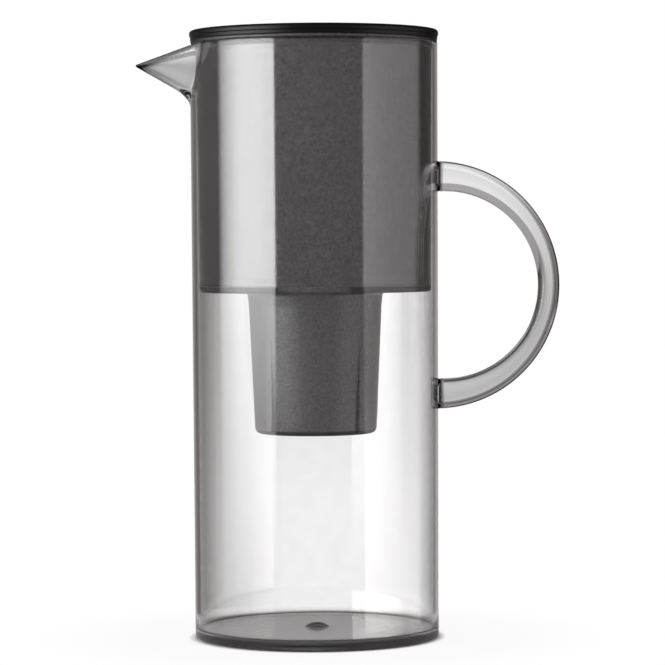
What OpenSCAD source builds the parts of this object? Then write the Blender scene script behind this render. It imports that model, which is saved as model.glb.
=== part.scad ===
// Water filter jug: a clear jug with a beak and a hoop handle, a hopper that hangs in its mouth,
// a filter cartridge in the hopper's socket and a flat lid.
// The axis of the jug is Z, the table is z = 0, the beak points to -X and the handle to +X.

/* [Jug body] */
// Outer diameter of the body at the rim
rim_d = 115.8; // [100:0.1:132]
// How much the body's radius shrinks from the rim to the foot
body_taper = 0.8; // [0.2:0.1:3]
// Height of the rim above the table
rim_h = 277.8; // [250:0.1:310]
// Thickness of the body wall
body_wall = 2.3; // [1.8:0.1:3.2]
// Thickness of the body floor
floor_t = 4.6; // [4:0.1:8]
// Radius of the inside corner between floor and wall
floor_fillet = 0.8; // [0.5:0.1:6]
// Radius of the outside edge of the foot
foot_edge_r = 1.5; // [0.5:0.1:3]
// Width of the flat ring that the jug stands on
foot_ring_w = 8; // [4:0.5:20]
// Depth of the recess inside that ring
foot_recess = 0.8; // [0.3:0.1:2]
// Diameter of the low dome in the middle of the floor
dome_d = 11.7; // [6:0.1:20]
// Height of that dome
dome_h = 2.2; // [0.5:0.1:3]

/* [Beak] */
// Reach of the beak's tip past the rim
beak_reach = 25.5; // [20:0.1:32]
// Drop of the tip below the rim
beak_drop = 9.6; // [6:0.1:16]
// Half angle of the beak's cone
beak_half_angle = 39; // [34:0.5:44]
// Slope of the beak's keel below level
beak_keel_angle = 30; // [24:0.5:36]
// Slope of the beak's upper edge, rising from the tip
beak_lip_angle = 16.5; // [12:0.5:22]
// Thickness of the beak's wall
beak_wall = 2; // [1.5:0.1:2.6]
// Radius of the blunt tip
beak_tip_r = 0.8; // [0.5:0.1:1.5]

/* [Handle] */
// Height of the handle's middle above the table
handle_z = 164.6; // [140:0.1:190]
// Radius of the hoop's outer edge
handle_outer_r = 57.9; // [50:0.1:64]
// Thickness of the hoop's ends in its own plane
handle_t = 14.2; // [10:0.1:16]
// How much thinner the hoop is at its middle than at its ends
handle_taper = 4.2; // [0:0.1:5]
// Width of the hoop across the grip
handle_w = 13.2; // [11:0.1:18]
// Radius of the hoop's long edges
handle_edge_r = 3.4; // [1:0.1:4.5]
// How far the weld pads stand out of the body wall
pad_h = 0.8; // [0.5:0.1:3]

/* [Hopper] */
// Depth of the hopper below the rim
hopper_depth = 116; // [95:0.1:130]
// Thickness of the hopper wall
hopper_wall = 2; // [1.5:0.1:3]
// Thickness of the hopper floor at the wall
hopper_floor_t = 3.1; // [2.4:0.1:5]
// Fall of that floor towards the socket
hopper_floor_fall = 0.6; // [0.2:0.1:1]
// Clearance of the hopper wall in the jug at the rim
hopper_gap = 0.5; // [0.4:0.1:2]
// Clearance of the hopper wall in the jug at the hopper's underside
hopper_low_gap = 0.95; // [0.5:0.05:3]
// Radius of the hopper's lower edge
hopper_edge_r = 1.5; // [0.5:0.1:3]
// Thickness of the flange that rests on the jug's rim
flange_t = 1.3; // [1:0.1:4]
// How far the flange stays inside the rim's outer edge
flange_inset = 0.3; // [0:0.1:1]
// Height of the collar that centres the hopper in the jug
collar_h = 3; // [2:0.1:6]
// Clearance of that collar in the jug
collar_gap = 0.3; // [0.2:0.05:0.6]
// Depth of the pouring flat at the hopper's floor
pour_flat_depth = 1.7; // [0.5:0.1:4]
// Draft of the pouring flat
pour_flat_angle = 1.3; // [0.5:0.1:3]
// Radius of the pouring flute
flute_r = 7.9; // [5:0.1:12]
// Depth of the pouring flute below the hopper wall
flute_depth = 4; // [2:0.1:5]
// How far below the rim the pouring flute ends
flute_stop = 10.6; // [10:0.1:16]

/* [Socket] */
// Diameter of the socket's sealing bore
socket_d = 59.6; // [52:0.1:66]
// Depth of the sealing bore below the hopper's underside
socket_seat = 6.2; // [4:0.1:10]
// Width of the ledge that carries the cartridge
ledge_w = 1.5; // [1.2:0.1:3]
// Depth of the socket below the hopper's underside
socket_depth = 66.2; // [50:0.1:80]
// Thickness of the socket's wall
socket_wall = 2; // [1.4:0.1:3]
// Thickness of the socket's floor
socket_floor_t = 2.4; // [1.6:0.1:4]
// Loss of the socket's outer radius from the hopper's underside to the ledge
socket_flare = 0.7; // [0.2:0.1:1]
// Loss of the socket's outer radius from the ledge to its floor
socket_taper = 2.7; // [1:0.1:5]
// Radius of the socket's lower edge
socket_edge_r = 3; // [1:0.1:4]
// Width of an outside rib of the socket
rib_w = 3.5; // [2:0.1:6]
// How far a rib stands out at the socket's floor
rib_proud = 2.1; // [1:0.1:2.4]
// Number of ribs
rib_count = 4; // [2:1:8]
// How far the ribs stay above the socket's underside
rib_lift = 1.4; // [0.5:0.1:4]
// Diameter of an outlet hole in the socket's floor
drain_d = 5; // [3:0.1:7]
// Number of outlet holes round the middle one
drain_count = 8; // [4:1:10]
// Radius of the ring of outlet holes
drain_ring_r = 16; // [12:0.1:20]

/* [Cartridge] */
// Thickness of the shell's wall
shell_wall = 1.4; // [1:0.1:2]
// Thickness of the shell's floor
shell_floor_t = 1.6; // [1.2:0.1:3]
// Clearance of the shell in the socket below the ledge
shell_gap = 0.4; // [0.3:0.05:1]
// Clearance between the shell's floor and the socket's floor
shell_lift = 0.8; // [0.3:0.1:3]
// Clearance of the shell's collar in the sealing bore
shell_collar_gap = 0.7; // [0.4:0.05:1]
// How far the collar stands above the hopper floor
shell_top = 1.5; // [0.5:0.1:4]
// Height of the seal ring
seal_h = 3.2; // [2:0.1:4]
// Height of the seal ring above the ledge
seal_lift = 2.6; // [1.4:0.1:4]
// Depth of the groove that holds the seal ring
seal_groove = 0.9; // [0.5:0.1:1]
// Clearance of the seal ring in the sealing bore
seal_gap = 0.3; // [0.2:0.05:0.35]
// Diameter of an outlet hole in the shell's floor
shell_hole_d = 3.2; // [2:0.1:4]
// Thickness of the cap's plate
cap_t = 1.8; // [1.2:0.1:3]
// Depth of the cap's skirt in the shell
cap_skirt = 3; // [2:0.1:5]
// Thickness of the cap's skirt
cap_skirt_t = 1.4; // [1:0.1:2]
// Clearance of the cap's skirt in the shell
cap_gap = 0.1; // [0.05:0.05:0.3]
// Number of inlet slots in the cap
slot_count = 12; // [6:1:14]
// Width of an inlet slot
slot_w = 2.2; // [1.2:0.1:2.6]
// Length of an inlet slot
slot_len = 9; // [5:0.1:10]
// Radius where the inlet slots start
slot_start_r = 13; // [11:0.1:14]
// Length of the finger grip
grip_len = 20; // [12:0.1:21]
// Height of the finger grip
grip_h = 12; // [8:0.1:20]
// Thickness of the finger grip
grip_t = 3.2; // [2:0.1:6]
// Thickness of a screen
screen_t = 0.6; // [0.4:0.1:1.2]
// Diameter of a hole in a screen
screen_hole_d = 2; // [1.2:0.1:2.6]
// Pitch between the rings of holes in a screen
screen_pitch = 5; // [4:0.1:7]
// Clearance round the screens, the pads and the beds
fill_gap = 0.15; // [0.05:0.05:0.4]
// Thickness of the outlet pad
outlet_pad_t = 2; // [1:0.1:4]
// Height of the resin bed
resin_h = 27; // [15:0.5:32]
// Thickness of the middle pad
middle_pad_t = 1.6; // [1:0.1:3]
// Free space between the carbon bed and the ledge's level
bed_free = 2; // [0.5:0.1:6]

/* [Lid] */
// How far the lid's cover stands out past the rim
lid_overhang = 0.3; // [0:0.1:2]
// Thickness of the cover
cover_t = 2.7; // [2:0.1:5]
// Radius of the cover's upper edge
cover_edge_r = 1.5; // [0.5:0.1:1.8]
// Thickness of the liner's plate
liner_t = 1.9; // [1.2:0.1:3]
// How far the liner stays inside the cover's edge
liner_inset = 0.4; // [0.1:0.1:2]
// Depth of the plug below the flange
plug_depth = 6; // [4:0.1:7]
// Clearance of the plug in the hopper
plug_gap = 1.2; // [0.6:0.1:1.6]
// Thickness of the plug's wall
plug_wall = 2.6; // [2.2:0.1:4]
// Height of the lid's seal ring
lid_seal_h = 2.4; // [1.6:0.1:3]
// Height of that ring above the plug's lower edge
lid_seal_lift = 1.4; // [0.8:0.1:2]
// Depth of the groove that holds that ring
lid_seal_groove = 1; // [0.5:0.1:1.2]
// Clearance of that ring in the hopper
lid_seal_gap = 0.3; // [0.2:0.05:0.5]
// Width of an air notch across that ring
vent_w = 4; // [2:0.1:8]
// Number of pins that hold the liner to the cover
pin_count = 4; // [3:1:8]
// Diameter of a pin
pin_d = 4; // [2:0.1:6]
// Radius of the ring of pins
pin_ring_r = 36; // [20:0.5:44]
// Radial clearance of a pin in the liner
pin_gap = 0.05; // [0.02:0.01:0.2]

/* [Hidden] */
$fn = 96;

// Room for a cut to run past the face that it opens
past = 2;
// Longer than any part of the jug, for half spaces
far = 400;

// Radii of the body
rim_r = rim_d / 2;
base_r = rim_r - body_taper;
bore_rim_r = rim_r - body_wall;
bore_floor_r = base_r - body_wall;
function wall_r(z) = base_r + (rim_r - base_r) * z / rim_h;
bore_floor_z = floor_t + floor_fillet;
function bore_r(z) =
    bore_floor_r + (bore_rim_r - bore_floor_r) * (z - bore_floor_z) / (rim_h - bore_floor_z);

// Beak, along the axis of its cone
beak_tip_x = -(rim_r + beak_reach);
beak_tip_z = rim_h - beak_drop;
beak_tilt = beak_half_angle - beak_keel_angle;
beak_inner_shift = beak_wall / sin(beak_half_angle);
beak_len = beak_reach + rim_r * (1 - cos(beak_half_angle)) + body_wall + past;

// Handle: outer and inner edges are two circles, so its middle line is a circle too
handle_mid_r = handle_outer_r - handle_t / 2;
handle_x = wall_r(handle_z + handle_mid_r) + pad_h;
hoop_steps = 40;
// Steps in each rounded edge of the hoop
edge_steps = 6;
hoop_sides = 4 * (edge_steps + 1);

// Hopper
hopper_z = rim_h - hopper_depth;
hopper_top_r = bore_rim_r - hopper_gap;
hopper_low_r = bore_r(hopper_z) - hopper_low_gap;
hopper_in_top_r = hopper_top_r - hopper_wall;
hopper_in_low_r = hopper_low_r - hopper_wall;
hopper_floor_z = hopper_z + hopper_floor_t;
flange_r = rim_r - flange_inset;
flange_z = rim_h + flange_t;
flute_x = -(hopper_top_r + flute_r - flute_depth);
flute_top_z = rim_h - flute_stop;

// Socket
socket_r = socket_d / 2;
ledge_z = hopper_z - socket_seat;
ledge_r = socket_r - ledge_w;
socket_z = hopper_z - socket_depth;
socket_floor_z = socket_z + socket_floor_t;
socket_top_r = socket_r + socket_wall;
socket_mid_r = socket_top_r - socket_flare;
socket_low_r = socket_mid_r - socket_taper;
socket_in_low_r = socket_low_r - socket_wall;
rib_r = socket_low_r + rib_proud;

// Cartridge
shell_z = socket_floor_z + shell_lift;
shell_inside_z = shell_z + shell_floor_t;
shell_top_z = hopper_floor_z + shell_top;
shell_collar_r = socket_r - shell_collar_gap;
shell_top_r = ledge_r - shell_gap;
shell_low_r = socket_in_low_r - shell_gap;
shell_in_top_r = shell_top_r - shell_wall;
shell_in_low_r = shell_low_r - shell_wall;
seal_z = ledge_z + seal_lift;
seal_in_r = shell_collar_r - seal_groove;
cap_skirt_r = shell_in_top_r - cap_gap;
cap_in_r = cap_skirt_r - cap_skirt_t;
outlet_pad_z = shell_inside_z + screen_t;
resin_z = outlet_pad_z + outlet_pad_t;
middle_pad_z = resin_z + resin_h;
carbon_z = middle_pad_z + middle_pad_t;
carbon_h = ledge_z - bed_free - carbon_z;
function cavity_r(z) =
    shell_in_low_r
    + (shell_in_top_r - shell_in_low_r) * (z - shell_inside_z) / (ledge_z - shell_inside_z);

// Lid
lid_r = rim_r + lid_overhang;
liner_r = lid_r - liner_inset;
cover_z = flange_z + liner_t;
plug_z = flange_z - plug_depth;
plug_r = hopper_in_top_r - plug_gap;
lid_seal_z = plug_z + lid_seal_lift;
lid_seal_in_r = plug_r - lid_seal_groove;
function hopper_in_r(z) =
    hopper_in_low_r + (hopper_in_top_r - hopper_in_low_r) * (z - hopper_floor_z) / (rim_h - hopper_floor_z);
lid_seal_r = hopper_in_r(lid_seal_z) - lid_seal_gap;

// Half profile of a tapered solid from z0 to z1, with its lower outside corner rounded.
// It goes straight up from z1 by the height above.
module tapered_profile(r0, z0, r1, z1, edge, above = 0) {
    polygon([
        [0, z0], [r0 - edge, z0], [r0 - edge, z0 + edge], [r0, z0 + edge], [r1, z1],
        if (above > 0) [r1, z1 + above],
        [0, z1 + above],
    ]);
    translate([r0 - edge, z0 + edge]) intersection() {
        circle(edge);
        translate([0, -edge]) square(edge);
    }
}

module ring(z, h, outer_r, inner_r) {
    translate([0, 0, z]) difference() {
        cylinder(h = h, r = outer_r);
        translate([0, 0, -past]) cylinder(h = h + 2 * past, r = inner_r);
    }
}

// Copies round the Z axis
module around(count, radius, start = 0) {
    for (i = [0 : count - 1]) rotate(start + i * 360 / count) translate([radius, 0, 0]) children();
}

// Jug body

module beak_cone(shift, tip_r) {
    translate([beak_tip_x, 0, beak_tip_z]) rotate([0, 90 - beak_tilt, 0]) translate([0, 0, shift])
        cylinder(h = beak_len, r1 = tip_r, r2 = tip_r + beak_len * tan(beak_half_angle));
}

module below_lip() {
    translate([beak_tip_x, 0, beak_tip_z]) rotate([0, -beak_lip_angle, 0])
        translate([-far / 2, -far / 2, -far]) cube(far);
}

module below_rim() {
    translate([-far / 2, -far / 2, rim_h - far]) cube(far);
}

// The section of the hoop's ends
module hoop_end() {
    square([handle_t - 2 * handle_edge_r, handle_w], center = true);
    square([handle_t, handle_w - 2 * handle_edge_r], center = true);
    for (x = [-1, 1], y = [-1, 1])
        translate([x * (handle_t / 2 - handle_edge_r), y * (handle_w / 2 - handle_edge_r)])
            circle(handle_edge_r);
}

module weld_pad(z) {
    translate([0, 0, z]) rotate([0, 90, 0]) linear_extrude(handle_x) hoop_end();
}

module floor_dome() {
    ball_r = (dome_d * dome_d / 4 + dome_h * dome_h) / (2 * dome_h);
    intersection() {
        translate([0, 0, floor_t + dome_h - ball_r]) sphere(ball_r);
        translate([0, 0, floor_t - dome_h]) cylinder(h = 3 * dome_h, d = 2 * dome_d);
    }
}

module jug_body() {
    color([0.55, 0.53, 0.53, 0.45]) difference() {
        union() {
            difference() {
                union() {
                    rotate_extrude() tapered_profile(base_r, 0, rim_r, rim_h, foot_edge_r);
                    intersection() {
                        beak_cone(0, beak_tip_r);
                        below_lip();
                        below_rim();
                    }
                    for (side = [-1, 1]) weld_pad(handle_z + side * handle_mid_r);
                }
                rotate_extrude()
                    tapered_profile(bore_floor_r, floor_t, bore_rim_r, rim_h, floor_fillet, far);
                beak_cone(beak_inner_shift, beak_tip_r);
            }
            floor_dome();
        }
        translate([0, 0, foot_recess - far])
            cylinder(h = far, r = base_r - foot_edge_r - foot_ring_w);
    }
}

// Handle

// A point of the hoop's skin: turn goes along the hoop, corner and step go round its section
function hoop_point(turn, corner, step) =
    let (
        half_t = (handle_t - handle_taper * cos(turn)) / 2,
        side = 90 * (corner + step / edge_steps),
        out = (corner == 0 || corner == 3 ? 1 : -1) * (half_t - handle_edge_r),
        across = (corner < 2 ? 1 : -1) * (handle_w / 2 - handle_edge_r),
        r = handle_mid_r + out + handle_edge_r * cos(side)
    )
    [handle_x + r * cos(turn), across + handle_edge_r * sin(side), handle_z + r * sin(turn)];

module hoop() {
    points = [
        for (i = [0 : hoop_steps], corner = [0 : 3], step = [0 : edge_steps])
            hoop_point(90 - 180 * i / hoop_steps, corner, step)
    ];
    skin = [
        for (i = [0 : hoop_steps - 1], j = [0 : hoop_sides - 1])
            let (
                a = i * hoop_sides + j,
                b = i * hoop_sides + (j + 1) % hoop_sides,
                c = a + hoop_sides,
                d = b + hoop_sides
            )
            each [[a, b, d], [a, d, c]]
    ];
    first_end = [for (j = [hoop_sides - 1 : -1 : 0]) j];
    last_end = [for (j = [0 : hoop_sides - 1]) hoop_steps * hoop_sides + j];
    polyhedron(points, concat(skin, [first_end, last_end]));
}

module handle() {
    color([0.75, 0.74, 0.74, 0.45]) hoop();
}

// Hopper

// Everything on the jug's side of the pouring flat, moved in by inset
module inside_flat(inset) {
    translate([-(hopper_low_r - pour_flat_depth), 0, hopper_z]) rotate([0, -pour_flat_angle, 0])
        translate([inset, -far / 2, -far / 2]) cube(far);
}

module flute(grow) {
    translate([flute_x, 0, flute_top_z + grow - far]) cylinder(h = far, r = flute_r + grow);
}

module hopper_outside() {
    difference() {
        union() {
            intersection() {
                rotate_extrude()
                    tapered_profile(hopper_low_r, hopper_z, hopper_top_r, rim_h, hopper_edge_r);
                inside_flat(0);
            }
            translate([0, 0, rim_h - collar_h]) cylinder(h = collar_h, r = bore_rim_r - collar_gap);
            translate([0, 0, rim_h]) cylinder(h = flange_t, r = flange_r);
        }
        flute(0);
    }
}

module hopper_inside() {
    difference() {
        intersection() {
            rotate_extrude() polygon([
                [0, hopper_floor_z - hopper_floor_fall],
                [socket_r, hopper_floor_z - hopper_floor_fall],
                [hopper_in_low_r, hopper_floor_z],
                [hopper_in_top_r, rim_h],
                [hopper_in_top_r, flange_z + past],
                [0, flange_z + past],
            ]);
            inside_flat(hopper_wall);
        }
        flute(hopper_wall);
    }
}

module socket_outside() {
    rotate_extrude() {
        tapered_profile(socket_low_r, socket_z, socket_mid_r, ledge_z, socket_edge_r);
        polygon([[0, ledge_z], [socket_mid_r, ledge_z], [socket_top_r, hopper_z],
            [socket_top_r, hopper_z + hopper_edge_r], [0, hopper_z + hopper_edge_r]]);
    }
    for (i = [0 : rib_count - 1]) rotate((i + 0.5) * 360 / rib_count)
        translate([0, -rib_w / 2, socket_z + rib_lift])
            cube([rib_r, rib_w, ledge_z - socket_z - rib_lift]);
}

module socket_inside() {
    translate([0, 0, ledge_z]) cylinder(h = hopper_floor_z - ledge_z, r = socket_r);
    translate([0, 0, socket_floor_z])
        cylinder(h = ledge_z - socket_floor_z, r1 = socket_in_low_r, r2 = ledge_r);
    translate([0, 0, socket_z - past]) cylinder(h = socket_floor_t + 2 * past, d = drain_d);
    around(drain_count, drain_ring_r)
        translate([0, 0, socket_z - past]) cylinder(h = socket_floor_t + 2 * past, d = drain_d);
}

module hopper() {
    color([0.26, 0.25, 0.25, 0.9]) difference() {
        union() {
            hopper_outside();
            socket_outside();
        }
        hopper_inside();
        socket_inside();
    }
}

// Cartridge

// A filling that touches neither wall nor collar of the shell
module filling(z, h) {
    translate([0, 0, z])
        cylinder(h = h, r1 = cavity_r(z) - fill_gap, r2 = cavity_r(z + h) - fill_gap);
}

// A disc with rings of holes, each ring six holes longer than the last
module screen(z, r) {
    rings = floor((r - screen_hole_d) / screen_pitch);
    translate([0, 0, z]) difference() {
        cylinder(h = screen_t, r = r);
        translate([0, 0, -past]) {
            cylinder(h = screen_t + 2 * past, d = screen_hole_d);
            for (k = [1 : rings]) around(6 * k, k * screen_pitch)
                cylinder(h = screen_t + 2 * past, d = screen_hole_d);
        }
    }
}

module cartridge_shell() {
    hole_rings = floor((shell_in_low_r - shell_hole_d) / (2 * shell_hole_d));
    color("whitesmoke") difference() {
        union() {
            translate([0, 0, shell_z])
                cylinder(h = ledge_z - shell_z, r1 = shell_low_r, r2 = shell_top_r);
            translate([0, 0, ledge_z]) cylinder(h = shell_top_z - ledge_z, r = shell_collar_r);
        }
        translate([0, 0, shell_inside_z])
            cylinder(h = ledge_z - shell_inside_z, r1 = shell_in_low_r, r2 = shell_in_top_r);
        translate([0, 0, ledge_z]) cylinder(h = shell_top_z - ledge_z + past, r = shell_in_top_r);
        ring(seal_z, seal_h, shell_collar_r + past, seal_in_r);
        translate([0, 0, shell_z - past]) {
            cylinder(h = shell_floor_t + 2 * past, d = shell_hole_d);
            for (k = [1 : hole_rings]) around(6 * k, k * 2 * shell_hole_d)
                cylinder(h = shell_floor_t + 2 * past, d = shell_hole_d);
        }
    }
}

module cartridge_cap() {
    color("white") {
        difference() {
            union() {
                translate([0, 0, shell_top_z]) cylinder(h = cap_t, r = shell_collar_r);
                ring(shell_top_z - cap_skirt, cap_skirt + cap_t / 2, cap_skirt_r, cap_in_r);
            }
            around(slot_count, slot_start_r) translate([0, -slot_w / 2, shell_top_z - past])
                cube([slot_len, slot_w, cap_t + 2 * past]);
        }
        translate([-grip_len / 2, -grip_t / 2, shell_top_z + cap_t / 2])
            cube([grip_len, grip_t, cap_t / 2 + grip_h]);
    }
}

module cartridge_seal() {
    color("dimgray") ring(seal_z, seal_h, socket_r - seal_gap, seal_in_r);
}

module inlet_screen() {
    color("lightgray") screen(shell_top_z - screen_t, cap_in_r - fill_gap);
}

module carbon_bed() {
    color([0.12, 0.12, 0.12]) filling(carbon_z, carbon_h);
}

module middle_pad() {
    color("ivory") filling(middle_pad_z, middle_pad_t);
}

module resin_bed() {
    color("burlywood") filling(resin_z, resin_h);
}

module outlet_pad() {
    color("ivory") filling(outlet_pad_z, outlet_pad_t);
}

module outlet_screen() {
    color("lightgray") screen(shell_inside_z, cavity_r(shell_inside_z) - fill_gap);
}

// Lid

module lid_cover() {
    color([0.08, 0.08, 0.08]) {
        translate([0, 0, 2 * cover_z + cover_t]) mirror([0, 0, 1])
            rotate_extrude() tapered_profile(lid_r, cover_z, lid_r, cover_z + cover_t, cover_edge_r);
        around(pin_count, pin_ring_r, 180 / pin_count)
            translate([0, 0, flange_z]) cylinder(h = liner_t + cover_t / 2, d = pin_d);
    }
}

module lid_liner() {
    color([0.1, 0.1, 0.1]) difference() {
        union() {
            translate([0, 0, flange_z]) cylinder(h = liner_t, r = liner_r);
            ring(plug_z, plug_depth + liner_t / 2, plug_r, plug_r - plug_wall);
        }
        ring(lid_seal_z, lid_seal_h, plug_r + past, lid_seal_in_r);
        around(pin_count, pin_ring_r, 180 / pin_count) translate([0, 0, flange_z - past])
            cylinder(h = liner_t + 2 * past, d = pin_d + 2 * pin_gap);
    }
}

module lid_seal() {
    color("gray") difference() {
        ring(lid_seal_z, lid_seal_h, lid_seal_r, lid_seal_in_r);
        for (side = [0, 180]) rotate(side)
            translate([plug_r, -vent_w / 2, lid_seal_z - past])
                cube([far, vent_w, lid_seal_h + 2 * past]);
    }
}

jug_body();
handle();
hopper();
cartridge_shell();
cartridge_cap();
cartridge_seal();
inlet_screen();
carbon_bed();
middle_pad();
resin_bed();
outlet_pad();
outlet_screen();
lid_cover();
lid_liner();
lid_seal();
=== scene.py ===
"""Dress the water filter jug: clear body, hoop handle, smoke hopper, filter cartridge and flat lid.

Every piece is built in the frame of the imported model, in metres, with +Z up, the beak towards -X and
the handle towards +X.
"""

import logging
import math
from collections.abc import Callable, Iterable, Sequence
from dataclasses import dataclass, replace
from enum import Enum
from functools import partial

import bmesh
import bpy
import numpy as np
from mathutils import Matrix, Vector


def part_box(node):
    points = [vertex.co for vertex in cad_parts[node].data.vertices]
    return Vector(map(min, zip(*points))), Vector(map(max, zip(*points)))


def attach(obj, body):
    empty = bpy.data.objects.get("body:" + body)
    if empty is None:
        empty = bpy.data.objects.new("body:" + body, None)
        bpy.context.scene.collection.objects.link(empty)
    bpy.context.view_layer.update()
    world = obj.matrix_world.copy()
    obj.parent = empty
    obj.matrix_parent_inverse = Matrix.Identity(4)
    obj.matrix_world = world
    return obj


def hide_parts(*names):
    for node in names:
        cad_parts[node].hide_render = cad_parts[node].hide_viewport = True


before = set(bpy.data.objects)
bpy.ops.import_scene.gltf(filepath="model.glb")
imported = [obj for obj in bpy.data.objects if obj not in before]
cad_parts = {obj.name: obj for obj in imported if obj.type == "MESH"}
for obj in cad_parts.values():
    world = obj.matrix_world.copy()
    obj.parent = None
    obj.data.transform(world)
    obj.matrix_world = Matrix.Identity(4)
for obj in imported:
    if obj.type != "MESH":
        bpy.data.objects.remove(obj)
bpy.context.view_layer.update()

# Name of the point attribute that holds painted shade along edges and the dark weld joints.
EDGE_SHADE_AND_WELD = "edge_shade_and_weld"
FULL_TURN = 2.0 * math.pi
QUARTER_TURN = math.pi / 2.0
HARD_EDGE = 36.0
ARC_ROOM = 0.49
GUARD = 0.0004
GUARD_ROOM = 0.3
NEVER = 1.0
LOG = logging.getLogger("water_filter_jug")

Colour = tuple[float, float, float]
Corner = tuple[float, float, float]
Limits = tuple[float, float]
Levels = tuple[Limits, ...]
Row = tuple[float, float, int]
Array = np.ndarray
Socket = bpy.types.NodeSocket
Mesh = bpy.types.Mesh
Material = bpy.types.Material

WHITE: Colour = (1.0, 1.0, 1.0)


class Body(Enum):
    """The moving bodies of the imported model."""

    JUG = "jug"
    HOPPER = "hopper"
    CARTRIDGE = "cartridge"
    LID = "lid"


class Slot(Enum):
    """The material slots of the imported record."""

    CLEAR_SMOKE = "clear_smoke"
    DARK_SMOKE = "dark_smoke"
    FILTER_SHELL = "filter_shell"
    SEAL = "seal"
    SCREEN = "screen"
    CARBON = "carbon"
    RESIN = "resin"
    FLEECE = "fleece"
    BLACK_SATIN = "black_satin"


class Blend(Enum):
    """How two radii are joined into one wall."""

    OUTER = 1.0
    INNER = -1.0


class Grain(Enum):
    """The two kinds of filling."""

    BROKEN = 1
    ROUND = 2


class Joining(Enum):
    """How a repeated tool meets the piece that it is set on."""

    ADD = "UNION"
    CUT = "DIFFERENCE"


class Mixing(Enum):
    """How a second colour acts on a first one."""

    COVER = "MIX"
    DARKEN = "MULTIPLY"


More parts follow.
